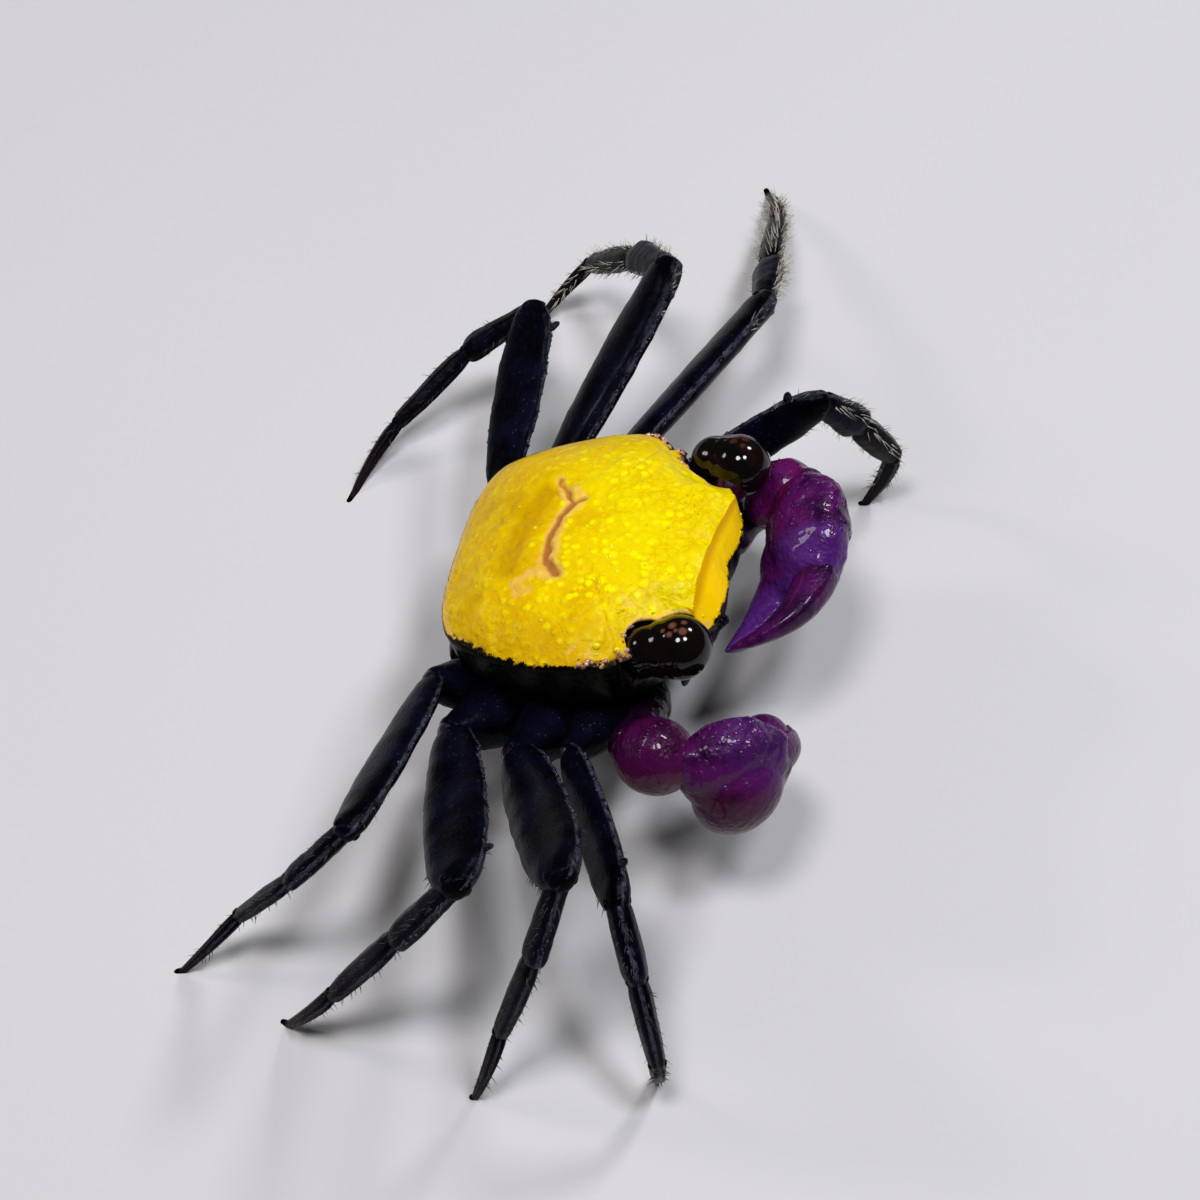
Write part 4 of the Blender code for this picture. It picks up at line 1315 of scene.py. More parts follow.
@dataclass
class Finger:
    """A tapering finger along a quadratic curve, in the hand's frame."""

    start: Vector
    lean: Vector
    end: Vector
    radius: float

    def at(self, t: float) -> Vector:
        """The middle of the finger at a share of its length."""
        return self.start * (1 - t) ** 2 + self.lean * 2 * t * (1 - t) + self.end * t ** 2

    def size(self, t: float) -> float:
        """Its radius there."""
        return self.radius * (1 - t) ** 0.8 + 0.13

    def add_to(
        self, skin: Skin, around: int, along: int, ridge: float, tone: Callable[[float, float], Tone]
    ) -> None:
        """Adds the finger to a skin.

        Args:
            skin: the skin.
            around: points in a ring.
            along: rings from root to tip.
            ridge: the height of the keel along its back.
            tone: the tone at a share and an angle.
        """
        caps = 6

        def shape(ring: int, angle: float) -> Tuple[Vector, Tone]:
            """The place and tone of one point."""
            size, out, t = 1.0, 0.0, 0.0
            if ring <= caps:
                bend = math.pi / 2 * ring / caps
                size, out = math.sin(bend), -0.5 * math.cos(bend)
            elif ring >= along - caps:
                bend = math.pi / 2 * (along - ring) / caps
                t, size, out = 1.0, math.sin(bend), 0.10 * math.cos(bend)
            else:
                t = (ring - caps) / (along - 2 * caps)
            way = ((self.lean - self.start) * (1 - t) + (self.end - self.lean) * t).normalized()
            turn = way.to_track_quat("X", "Z").to_matrix()
            radius = self.size(t)
            c, s = math.cos(angle), math.sin(angle)
            y = radius * 0.88 * math.copysign(abs(c) ** 0.85, c)
            z = radius * s + ridge * radius * hill(math.atan2(c, s), 0.3)
            where = self.at(t) + turn @ Vector((0, y * size, z * size)) + way * out
            where += Vector((1, 1, 1)) * 0.02 * noise.noise(where * 1.6)
            return where, tone(t, angle)

        skin.ball(around, along, shape)


# The swollen inner side of each wrist: its middle and its radius
WRIST_SWELLS = {
    Side.LEFT: (Vector((7.35, 6.75, -4.2)), 1.05),
    Side.RIGHT: (Vector((5.25, -8.75, -4.5)), 1.84),
}


@dataclass
class ClawLimb:
    """One claw limb: base, arm, wrist, hand with its fixed finger, and moving finger."""

    side: Side
    finishes: Finishes

    def __post_init__(self) -> None:
        """Sets out the limb's pieces."""
        joints = CLAW_JOINTS[self.side]
        self.name = "cheliped_" + self.side.label
        self.hip = BODY @ mirrored((3.3, 3.1, -6.55), self.side)
        self.root, self.elbow, self.wrist, self.knuckle = (
            BODY @ joints[key] for key in ("root", "elbow", "wrist", "knuckle")
        )
        self.hand = frame_along(self.wrist, self.knuckle, BODY.to_3x3() @ joints["back"])
        self.length = length = (self.knuckle - self.wrist).length
        tip = self.hand.inverted() @ (BODY @ joints["tip"])
        self.fixed = Finger(
            Vector((0.80 * length, 0, -1.05)),
            Vector((1.25 * length, 0.25 * tip.y, 0.45 * tip.z - 1.75)),
            tip + Vector((0, 0, -0.22)),
            1.30,
        )
        self.moving = Finger(
            Vector(((0.98 if self.side is Side.LEFT else 0.88) * length, 0, 0.95)),
            Vector((1.45 * length, 0.25 * tip.y, 0.35 * tip.z + 1.55)),
            tip + Vector((0.05, 0, 0.22)),
            1.02,
        )

    def build(self) -> None:
        """Makes every piece of the limb."""
        up = Vector((0, 0, 1))
        # The base and the arm are painted almost black as painted shade where they lie under the shell; the
        # right wrist is darkened by less
        for piece, start, end, rows, red, black in (
            ("base", self.hip, self.root, COXA, 0.55, 1.0),
            ("merus", self.root, self.elbow, ARM, 0.65, 0.9),
            ("carpus", self.elbow, self.wrist, WRIST, 1.1, 0.0 if self.side is Side.LEFT else 0.45),
        ):
            limb = Limb(
                frame_along(start, end, up), (end - start).length, rows, crest=0.06, crest_step=0.45,
                grain=0.10, crown=0.45, keel=0.92, seed=self.side.value * 2.0 + red,
            )
            skin = Skin()
            limb.add_to(skin, 56, 48, lambda share, angle: (red - 0.5 * math.sin(angle), 0.0, -black))
            if piece == "carpus":
                centre, size = WRIST_SWELLS[self.side]
                spot = limb.where.inverted() @ (BODY @ centre)
                skin.knob(spot, Vector((size, size * 0.94, size * 0.92)), Matrix.Identity(3), (0, 0, 0), 4)
                aside = BODY.to_3x3() @ Vector((0.55, -0.25, 0.12)) * (size / 1.8)
                corner = spot + limb.where.to_3x3().inverted() @ aside
                skin.knob(corner, Vector((1, 1, 1)) * size * 0.76, Matrix.Identity(3), (0, 0, 0), 4)
                skin.melt(0.10, 6, lambda at: (red - 0.6 * rise(-0.8, 1.2, at.z), 0.0, -black))
            name = f"{self.name}_{piece}"
            skin.finish(name + "_skin", limb.where, self.finishes.claw, Slot.CLAW, [name])
            if piece == "carpus":
                self.build_limb_grains(piece, limb)
        self.build_palm()
        self.build_moving_finger()
        self.build_joint_skin()

    def build_limb_grains(self, piece: str, limb: Limb) -> None:
        """Makes the grains on the upper side of the arm or wrist."""
        skin = Skin()
        draw = random.Random(7 + self.side.value + len(piece))
        for _ in range(26):
            share, turn = draw.uniform(0.45, 1.0), draw.gauss(math.pi / 2, 0.55)
            size = draw.uniform(0.04, 0.08)
            spot = limb.where @ limb.surface(share, turn)
            skin.knob(spot, Vector((size * 1.3, size, size * 0.8)), limb.where.to_3x3(), (0, 1, 0), 2)
        skin.finish(f"{self.name}_{piece}_grains", Matrix(), self.finishes.claw_grain, Slot.CLAW)

    def palm_tone(self, at: Vector) -> Tone:
        """Magenta along the hand and low on it, blue-violet over the knuckle and the fixed finger."""
        length = self.length
        finger = rise(0.84 * length, 1.08 * length, at.x) * rise(0.9, 0.2, at.z)
        if self.side is Side.LEFT:
            inner = 0.75 * hill(at.y + 1.0, 0.8)
            red = inner * rise(0.85 * length, 0.55 * length, at.x) * rise(1.4, 0.4, at.z)
            blue = rise(0.45 * length, 0.75 * length, at.x) * rise(-0.4, 0.8, at.z)
        else:
            red = 0.55 * rise(0.2, -1.6, (at.y + at.z) * 0.7)
            blue = 0.65 * rise(0.9, 2.4, at.z - 0.4 * at.y)
        red = max(red, 0.5 * rise(-1.0, -2.4, at.z))
        dark = 0.0 if self.side is Side.LEFT else -0.25 - 0.25 * rise(-0.5, -2.2, at.y + at.z)
        return (0.08 + red * (1 - 0.7 * finger), max(0.9 * blue, finger * rise(0.7, -0.3, at.y)), dark)

    def build_palm(self) -> None:
        """Makes the hand with its fixed finger, its teeth and its grains."""
        skin = Skin()
        palm = Limb(
            self.hand, self.length, PALM, crest=0.05, grain=0.15, crown=0.6, keel=0.9, seed=self.side.value
        )
        palm.add_to(skin, 64, 56)
        if self.side is Side.RIGHT:
            flat = Matrix.Identity(3)
            lobe = Vector((0.66 * self.length, -0.60, -0.45))
            skin.knob(lobe, Vector((1.95, 1.70, 2.32)), flat, (0, 0, 0), 4)
            hump = self.hand.inverted() @ (BODY @ Vector((9.45, -6.3, -5.7)))
            skin.knob(hump, Vector((1.15, 1.10, 1.10)), flat, (0, 0, 0), 4)
        self.fixed.add_to(skin, 40, 44, 0.10, lambda t, a: (0.0, 0.0, 0.0))
        up = Vector((0, 0, 1))
        for k in range(7):
            t = 0.26 + 0.09 * k
            size = (0.26, 0.34, 0.30, 0.36, 0.28, 0.26, 0.20)[k]
            spot = self.fixed.at(t) + up * (self.fixed.size(t) - 0.02)
            skin.knob(spot, Vector((size * 0.85, size * 0.7, size)), Matrix.Identity(3), (0, 0, 0), 2)
        skin.melt(0.11, 3, self.palm_tone)
        tree = skin.tree()
        skin.finish(f"{self.name}_palm_skin", self.hand, self.finishes.claw, Slot.CLAW, [f"{self.name}_palm"])
        grains = Skin()
        draw = random.Random(31 + self.side.value)
        for row in range(13):
            for k in range(17):
                share = 0.06 + 0.055 * k + draw.gauss(0, 0.014)
                tilt = -1.25 + 0.19 * row + draw.gauss(0, 0.055)
                if draw.random() < 0.30 + 0.60 * rise(0.2, 1.0, abs(tilt)) + 0.45 * rise(0.45, 0.9, share):
                    continue
                height = Vector((share * self.length, 3.4 * math.sin(tilt), 3.4 * math.cos(tilt)))
                aim = Vector((0, -math.sin(tilt), -math.cos(tilt)))
                spot, normal, _, _ = tree.ray_cast(height, aim)
                if spot is None:
                    continue
                size = draw.uniform(0.06, 0.11)
                turn = normal.to_track_quat("Z", "X").to_matrix()
                grains.knob(spot, Vector((size, size * 1.5, size * 0.40)), turn, (0, 1, 0), 2)
        for k in range(12):
            t = 0.04 + 0.06 * k
            size = 0.06 * (1 - 0.5 * t)
            spot = self.fixed.at(t) - up * (self.fixed.size(t) * 0.98)
            near, normal, _, _ = tree.find_nearest(spot)
            grains.knob(near, Vector((size * 1.2, size, size)), Matrix.Identity(3), (0, 1, 0), 2)
        grains.finish(f"{self.name}_palm_grains", self.hand, self.finishes.claw_grain, Slot.CLAW)

    def build_moving_finger(self) -> None:
        """Makes the moving finger with its teeth and the row of grains on its back."""
        skin = Skin()

        def tone(t: float, angle: float) -> Tone:
            """Blue-violet along the back."""
            top = math.sin(angle)
            return (0.30 + 0.4 * rise(0.3, -0.8, top), 0.35 * rise(0.2, 0.9, top), -0.25)

        self.moving.add_to(skin, 44, 60, 0.12, tone)
        up = Vector((0, 0, 1))
        for k in range(6):
            t = 0.28 + 0.10 * k
            size = (0.20, 0.28, 0.24, 0.28, 0.22, 0.18)[k]
            spot = self.moving.at(t) - up * (self.moving.size(t) - 0.02)
            skin.knob(spot, Vector((size * 0.85, size * 0.7, size)), Matrix.Identity(3), (0.3, 0.2, 0), 2)
        name = f"{self.name}_dactyl"
        skin.finish(name + "_skin", self.hand, self.finishes.claw, Slot.CLAW, [name])
        grains = Skin()
        draw = random.Random(57 + self.side.value)
        for k in range(15):
            t = 0.04 + 0.054 * k
            size = 0.075 * (1 - 0.45 * t)
            for shift in (0.0, 0.32) if k % 2 else (0.0,):
                spot = self.moving.at(t) + Vector((0.02, shift, self.moving.size(t) * (1.06 - 0.18 * shift)))
                grains.knob(spot, Vector((size * 1.3, size, size * 0.9)), Matrix.Identity(3), (0, 1, 0), 2)
                draw.random()
        grains.finish(f"{self.name}_dactyl_grains", self.hand, self.finishes.claw_grain, Slot.CLAW)

    def build_joint_skin(self) -> None:
        """Makes the pale skin at the elbow, the wrist and the finger's root."""
        skin = Skin()
        spots = (
            (self.root, 0.66),
            (self.elbow, 0.66),
            (self.wrist, 0.72),
            (self.hand @ (self.moving.start + Vector((0.1, 0, -0.2))), 0.80),
        )
        for spot, size in spots:
            skin.knob(spot, Vector((size, size, size)), Matrix.Identity(3), (0, 0, 0), 3)
        skin.finish(f"{self.name}_joint_skin", Matrix(), self.finishes.claw_skin, Slot.CLAW)


# The trunk

# The rim from the middle of the front round the left side to the middle of the rear: x, y, height,
# and how sharply the back rolls over to it
OUTLINE = (
    (7.20, 0.0, -1.9, 9.0),
    (7.42, 1.7, -1.9, 9.0),
    (7.15, 3.3, -1.8, 8.0),
    (6.10, 4.75, -1.5, 6.0),
    (4.15, 6.55, -1.0, 5.0),
    (3.60, 6.72, -1.15, 4.0),
    (3.05, 7.12, -1.1, 4.0),
    (1.10, 7.38, -1.3, 3.8),
    (-0.90, 7.02, -1.5, 3.6),
    (-2.80, 6.35, -1.65, 3.4),
    (-4.25, 5.30, -1.75, 3.2),
    (-4.95, 3.30, -1.8, 3.0),
    (-5.10, 0.0, -1.8, 3.0),
)
CENTRE = Vector((0.6, 0.0))
# The radii of the sockets that hold the two halves of each eye
SOCKETS = {Side.LEFT: (1.80, 1.50), Side.RIGHT: (1.50, 1.30)}
# Tan spots on top of the left eye, partly its own colour and partly a painted reflection of the yellow shell,
# each an offset from its middle and a radius
EYE_SPOTS_AND_REFLECTIONS = (
    (-0.16, 0.08, 1.40, 0.21), (-0.22, 0.52, 1.30, 0.16), (0.31, -0.16, 1.38, 0.15), (0.33, 0.32, 1.33, 0.22),
    (0.02, 0.34, 1.38, 0.10), (-0.55, 0.30, 1.25, 0.13),
)
# How far the back stands above the trunk's zero
LIFT = 0.6
# Lines on the back, each a path, its half width and its strength: brown grooves, the peach ridges beside
# them, and a broad ochre hollow behind
GROOVES = (
    (((-0.28, -2.41), (-0.44, -0.98), (-0.37, -0.28), (-0.24, 0.56), (0.01, 1.09), (0.20, 1.49)), 0.17, 1.0),
    (((-0.21, -2.22), (0.12, -2.70), (0.34, -3.00)), 0.33, 0.95),
    (((0.20, 1.49), (0.60, 1.77)), 0.17, 0.85),
    (((0.20, 1.49), (-0.17, 2.12), (-0.40, 2.36), (-0.70, 2.67), (-0.65, 3.07)), 0.19, 0.85),
    (((-1.21, -4.14), (-0.76, -3.96)), 0.25, 0.40),
)
RIDGES = (
    (((0.03, -1.89), (-0.08, -0.96), (-0.07, 0.0), (0.20, 0.65), (0.51, 1.31)), 0.26, 0.9),
    (((-0.01, 1.41), (-0.32, 1.78), (-0.60, 2.22)), 0.20, 0.9),
    (((0.07, 2.33), (0.35, 2.08)), 0.24, 0.9),
    (((0.17, -3.32), (-0.50, -2.92), (-1.09, -3.33), (-1.43, -3.79)), 0.32, 0.75),
)
HOLLOWS = ((((-1.20, 1.99), (-1.57, 0.81), (-1.84, -0.43), (-1.91, -1.70), (-1.85, -2.76)), 0.55, 1.0),)
# The middle of each cornea and of the lobe behind it; the left eye is swung forward and up
EYES = {
    Side.LEFT: (Vector((6.75, 5.85, -0.95)), Vector((5.6, 6.2, -1.0))),
    Side.RIGHT: (Vector((6.1, -5.3, -1.3)), Vector((4.75, -5.55, -1.35))),
}


@dataclass
class Carapace:
    """The shell: yellow back with its groove, lobed front, eye sockets and dark walls."""

    finishes: Finishes
    around: int = 288
    back_rings: int = 92
    wall_rings: int = 26
    floor_rings: int = 8
    floor: float = -4.4
    wall: Tuple[Row, ...] = ((0.0, 0.0), (0.25, 0.02), (0.62, 0.35), (1.0, 1.2))
    groove_depth: float = 0.22

    def outline(self) -> List[Row]:
        """Points round the rim, each (x, y, height, roll), drawn in round the eyes."""
        left = [Vector(row) for row in OUTLINE]
        right = [Vector((x, -y, z, roll)) for x, y, z, roll in OUTLINE[-2:0:-1]]
        knots = left + right
        count = len(knots)
        lengths = [(knots[(i + 1) % count] - knots[i]).to_2d().length for i in range(count)]
        total = sum(lengths)
        points = []
        for k in range(self.around):
            way, i = total * k / self.around, 0
            while way > lengths[i]:
                way -= lengths[i]
                i += 1
            t = way / lengths[i]
            a, b, c, d = (knots[(i + shift) % count] for shift in (-1, 0, 1, 2))
            bends = (2 * a - 5 * b + 4 * c - d) * t ** 2 + (3 * b - a - 3 * c + d) * t ** 3
            points.append(0.5 * (2 * b + (c - a) * t + bends))
        return points

    @staticmethod
    def drawn_in(point: Vector) -> Vector:
        """Moves a point of the shell out of the eye's socket, straight towards the middle of the shell."""
        side = Side.LEFT if point.y > 0 else Side.RIGHT
        arm = point.to_2d() - CENTRE
        way, reach = arm.normalized(), arm.length
        for eye, radius in zip(EYES[side], SOCKETS[side]):
            ahead = (eye.to_2d() - CENTRE).dot(way)
            aside = (eye.to_2d() - CENTRE).length_squared - ahead ** 2
            spare = radius ** 2 - (point.z - eye.z) ** 2 - aside
            if spare > 0:
                reach = min(reach, ahead - math.sqrt(spare))
        return Vector((*(CENTRE + way * reach), point.z))

    @staticmethod
    def fold(edge: Vector) -> Tuple[float, float]:
        """How much a line out to this edge point is part of the front, and the share at which it folds."""
        line = 6.62 + 0.108 * edge.y + 0.07 * abs(edge.y)
        turn = max(0.80, min(0.985, (line - CENTRE.x) / max(0.1, edge.x - CENTRE.x)))
        return rise(4.7, 3.9, abs(edge.y)) * (edge.x > 5.0), turn

    def height(self, share: float, edge: Vector, rim: float, roll: float) -> float:
        """The height of the back at a share of the way out to the edge."""
        plain = rim * (0.22 * share ** 2 + 0.78 * share ** roll)
        front, turn = self.fold(edge)
        if share < turn:
            faced = rim * 0.22 * share ** 2 - 0.30 * (share / turn) ** 7
        else:
            top = rim * 0.22 * turn ** 2 - 0.30
            u = (share - turn) / (1 - turn)
            faced = top + (rim - top) * (0.62 * u + 0.38 * u * u)
        return plain + (faced - plain) * front

    @staticmethod
    def lines(paths: Sequence[Any], x: float, y: float) -> float:
        """How near a place is to the middle of some lines on the back, 0 to 1."""
        there = Vector((x, y, 5.0)) * 1.9
        sway = Vector((noise.noise(there + Vector((9.3, -1.5, -8.0))), noise.noise(there)))
        here = Vector((x, y)) + sway * 0.13
        return max(weight * hill(distance_to_path(here, path), width) for path, width, weight in paths)

    def relief(self, x: float, y: float, share: float) -> float:
        """The lobes behind the front, swellings and fine wrinkles, which add to the back's height."""
        rises = sum(0.20 * hill(abs(y) - lobe, 0.62) * hill(x - 6.2, 0.55) for lobe in (0.95, 2.55))
        rises -= 0.08 * hill(y, 0.30) * rise(3.8, 5.8, x)
        rises += 0.16 * hill(math.hypot(x + 1.6, (abs(y) - 4.2)), 1.9)
        rises += 0.10 * hill(math.hypot(x - 2.2, abs(y) - 2.2), 1.7)
        rises -= 0.07 * hill(abs(y) - 3.6, 0.5) * hill(x - 1.2, 1.6)
        stripes = math.sin(9.5 * (x * 0.75 + abs(y) * 0.55) + 2.2 * noise.noise(Vector((x, y, 0)) * 0.8))
        rises += 0.028 * stripes * rise(4.6, 5.9, abs(y)) * rise(1.0, 0.93, share) * rise(-4.2, -2.0, x)
        bumps = noise.noise(Vector((x, y, 4.0)) * 0.7) * 0.09 + noise.noise(Vector((x, y, 8.0)) * 2.1) * 0.035
        bumps += max(0.0, noise.noise(Vector((x, y, 2.0)) * 3.6)) * 0.05
        return (rises + bumps) * rise(1.0, 0.9, share)

    def build(self) -> None:
        """Makes the shell and the grains along its edges."""
        rim_points = self.outline()
        along = self.back_rings + self.wall_rings + self.floor_rings

        edges = [self.drawn_in(Vector((x, y, rim + LIFT))).to_2d() for x, y, rim, _ in rim_points]
        near = KDTree(len(edges))
        for index, edge in enumerate(edges):
            near.insert((*edge, 0.0), index)
        near.balance()

        def back(flat: Vector, share: float, index: int) -> Tuple[float, Tone]:
            """The height and tone of a place on the back, at a share of the way out to the full outline."""
            x, y, rim, roll = rim_points[index]
            front, turn = self.fold(Vector((x, y)))
            deep, ridge, hollow = (self.lines(paths, *flat) for paths in (GROOVES, RIDGES, HOLLOWS))
            z = LIFT + self.height(share, Vector((x, y)), rim, roll) + self.relief(flat.x, flat.y, share)
            z += 0.05 * ridge - self.groove_depth * deep - 0.07 * hollow
            z += front * 0.04 * math.sin(index * math.tau / 5) * rise(0.95, 1.0, share)
            beyond = (share - turn) / (1 - turn)
            faced = front * rise(-0.08, 0.02, beyond) * (0.3 + 0.7 * max(0.0, beyond))
            inside = near.find((*flat, 0.0))[2]
            socket = min((flat - eye.to_2d()).length for eye in EYES[Side.LEFT if y > 0 else Side.RIGHT])
            z -= 0.50 * hill(inside, 0.95) * rise(3.3, 1.9, socket)
            return z, (deep - hollow, 0.004 - 0.18 * inside, faced - ridge)

        def shape(ring: int, angle: float) -> Tuple[Vector, Tone]:
            """The place and tone of one point."""
            index = round(angle / math.tau * self.around) % self.around
            x, y, _, _ = rim_points[index]
            ruffle = 0.05 * math.sin(index * math.tau / 7) * noise.noise(Vector((x, y, 1)) * 1.3)
            arm = Vector((x, y)) - CENTRE
            reach = (edges[index] - CENTRE).length / arm.length
            if ring <= self.back_rings:
                out = math.sin(math.pi / 2 * ring / self.back_rings)
                flat = CENTRE + (edges[index] - CENTRE) * out
                z, tone = back(flat, out * reach, index)
                return Vector((*flat, z)), tone
            if ring <= self.back_rings + self.wall_rings:
                share = (ring - self.back_rings) / self.wall_rings
                pinch = 0.10 * hill(share - 0.06, 0.06)
                drawn = smooth_row(self.wall, share)[0] - pinch + ruffle * (1 - share)
                flat = CENTRE + arm * (1 - drawn / arm.length)
                top, (_, _, faced) = back(edges[index], reach, index)
                z = top + (self.floor - top) * share
                point = self.drawn_in(Vector((flat.x, flat.y, z)))
                return point, (0.0, share * 0.9, max(0.0, faced) * rise(0.12, 0.05, share))
            left = (along - ring) / self.floor_rings
            flat = CENTRE + arm * (1 - 1.2 / arm.length) * left
            return Vector((flat.x, flat.y, self.floor)), (0.0, 1.0, 0.0)

        skin = Skin()
        skin.ball(self.around, along, shape)
        tree = skin.tree()
        skin.finish("shell", BODY, self.finishes.shell, Slot.SHELL, ["carapace"])
        self.build_grains(tree, rim_points)

    def build_grains(self, tree: BVHTree, rim_points: Sequence[Row]) -> None:
        """Makes rust-red grains on the side teeth and yellow ones along the front and on the back.

        Args:
            tree: the shell's surface.
            rim_points: the points of its rim.
        """
        rust, gold = Skin(), Skin()
        draw = random.Random(5)
        for index in range(0, self.around, 2):
            x, y, rim, _ = rim_points[index]
            toothed = 2.2 < x < 5.2 and abs(y) > 5.9
            fronted = x > 5.9 and abs(y) < 4.3 and draw.random() < 0.35
            if not (toothed or fronted):
                continue
            edge = self.drawn_in(Vector((x, y, rim + LIFT)))
            for _ in range(3 if toothed else 1):
                spot = Vector((edge.x, edge.y, rim + LIFT)) + Vector([draw.gauss(0, 0.11) for _ in range(3)])
                spot, normal, _, _ = tree.find_nearest(spot)
                size = draw.uniform(0.05, 0.14) if toothed else draw.uniform(0.04, 0.08)
                turn = normal.to_track_quat("Z", "X").to_matrix()
                target = rust if toothed else gold
                target.knob(spot, Vector((size, size, size * 0.85)), turn, (0, 0, 0), 2)
        for _ in range(130):
            x, y = draw.uniform(-3.5, 6.2), draw.uniform(-6.4, 6.4)
            if draw.random() > 0.25 + 0.75 * rise(0.5, 4.5, x) or abs(y) > 6.2 - 0.1 * x * x:
                continue
            spot, normal, _, _ = tree.ray_cast(Vector((x, y, 3.0)), Vector((0, 0, -1)))
            if spot is None or spot.z < -0.9 or self.lines(GROOVES + RIDGES, x, y) > 0.2:
                continue
            size = draw.uniform(0.05, 0.10)
            turn = normal.to_track_quat("Z", "X").to_matrix()
            gold.knob(spot, Vector((size * 1.2, size, size * 0.4)), turn, (0, 0, 0), 2)
        for x, y, size in ((3.55, -4.46, 0.14), (4.8, -4.17, 0.11), (2.75, -6.37, 0.19), (3.6, -6.3, 0.14)):
            spot, normal, _, _ = tree.ray_cast(Vector((x, y, 3.0)), Vector((0, 0, -1)))
            turn = normal.to_track_quat("Z", "X").to_matrix()
            gold.knob(spot, Vector((size, size, size * 0.7)), turn, (0, 0, 0), 3)
        rust.finish("shell_tooth_grains", BODY, self.finishes.rust_grain, Slot.SHELL)
        gold.finish("shell_gold_grains", BODY, self.finishes.gold_grain, Slot.SHELL)


@dataclass
class Face:
    """The eyes on their stalks, the feelers and the outer mouth plates."""

    finishes: Finishes

    def build(self) -> None:
        """Makes the pieces of both sides."""
        for side in Side:
            self.build_eye(side, *EYES[side])
            self.build_feeler(side)
            self.build_mouth_plate(side)

    def build_eye(self, side: Side, centre: Vector, lobe: Vector) -> None:
        """Makes an eye: the wet cornea with its outer lobe, and the stalk that holds it.

        Args:
            side: the eye's side.
            centre: the middle of the cornea.
            lobe: the middle of the outer lobe.
        """
        skin = Skin()
        turn = (lobe - centre).to_track_quat("X", "Z").to_matrix()
        skin.knob(centre, Vector((1.42, 1.42, 1.44)), turn, (0, 0, 0), 4)
        skin.knob(lobe, Vector((1.18, 1.14, 1.12)), turn, (0, 0, 0), 4)
        skin.knob(centre.lerp(lobe, 0.5), Vector((1.1, 1.30, 1.28)), turn, (0, 0, 0), 4)
        far = side is Side.LEFT

        def tone(at: Vector) -> Tone:
            """The tan spots on top, and how red the eye is."""
            at = at - centre
            spots = max(
                rise(size, size * 0.6, (at - mirrored(spot, side)).length) for *spot, size in EYE_SPOTS_AND_REFLECTIONS
            )
            return (spots * (0.25 if far else 0.8), 1.0 if far else 0.25, 0.0)

        skin.melt(0.075, 8, tone)
        skin.finish(f"eye_{side.label}_cornea", BODY, self.finishes.eye, Slot.EYE, [f"eye_{side.label}"])
        root = mirrored((6.1, 3.4, -1.85), side)
        where = BODY @ frame_along(root, centre, Vector((0, 0, 1)))
        rows = (
            (0.0, 0.50, 0.50, 0.50),
            (0.35, 0.56, 0.56, 0.56),
            (0.7, 0.90, 0.90, 0.90),
            (0.86, 1.14, 1.14, 1.14),
        )
        stalk = Limb(where, (centre - root).length, rows, grain=0.10, crown=0.1, keel=1.0)
        skin = Skin()
        stalk.add_to(skin, 40, 32, lambda share, angle: (0.75, 0.0, -0.8))
        skin.finish(f"eye_{side.label}_stalk", where, self.finishes.claw, Slot.EYE)

    def build_feeler(self, side: Side) -> None:
        """Makes a feeler: three stout joints and a ringed whip."""
        root, tip = mirrored((7.3, 2.3, -2.4), side), mirrored((6.95, 4.0, -2.6), side)
        where = BODY @ frame_along(root, tip, Vector((0, 0, 1)))
        rows: List[Row] = []
        for k in range(3):
            start, size = 0.13 * k, 0.33 - 0.05 * k
            rows += [(start, size * 0.8, size * 0.8, size * 0.8), (start + 0.05, size, size, size)]
            rows += [(start + 0.11, size * 0.95, size * 0.95, size * 0.95)]
        for k in range(16):
            size = 0.17 - 0.007 * k
            start = 0.40 + 0.0375 * k
            rows += [(start, size * 0.82, size * 0.82, size * 0.82), (start + 0.019, size, size, size)]
        limb = Limb(where, (tip - root).length, rows, bow=0.1, grain=0.02, crown=0.08, keel=1.0)
        skin = Skin()
        limb.add_to(skin, 20, 150, lambda share, angle: (0.0, 0.0, 0.0))
        nodes = [f"antenna_{side.label}"]
        skin.finish(f"antenna_{side.label}_skin", where, self.finishes.underside, Slot.UNDERSIDE, nodes)

    def build_mouth_plate(self, side: Side) -> None:
        """Makes an outer mouth plate with the seam between its two joints."""
        top, foot = mirrored((5.45, 1.1, -4.85), side), mirrored((4.75, 1.0, -7.55), side)
        where = BODY @ frame_along(top, foot, Vector((1, 0, 0.3)))
        rows = (
            (0.0, 0.42, 0.3, 0.80), (0.25, 0.46, 0.3, 0.98), (0.44, 0.44, 0.3, 0.97), (0.47, 0.36, 0.3, 0.93),
            (0.50, 0.43, 0.3, 0.96), (0.6, 0.42, 0.3, 0.95), (1.0, 0.25, 0.2, 0.70),
        )
        limb = Limb(where, (foot - top).length, rows, grain=0.07, crown=0.15)
        skin = Skin()
        limb.add_to(skin, 40, 60, lambda share, angle: (hill(share - 0.47, 0.035), 0.0, 0.0))
        nodes = [f"maxilliped_{side.label}"]
        skin.finish(f"maxilliped_{side.label}_skin", where, self.finishes.underside, Slot.UNDERSIDE, nodes)


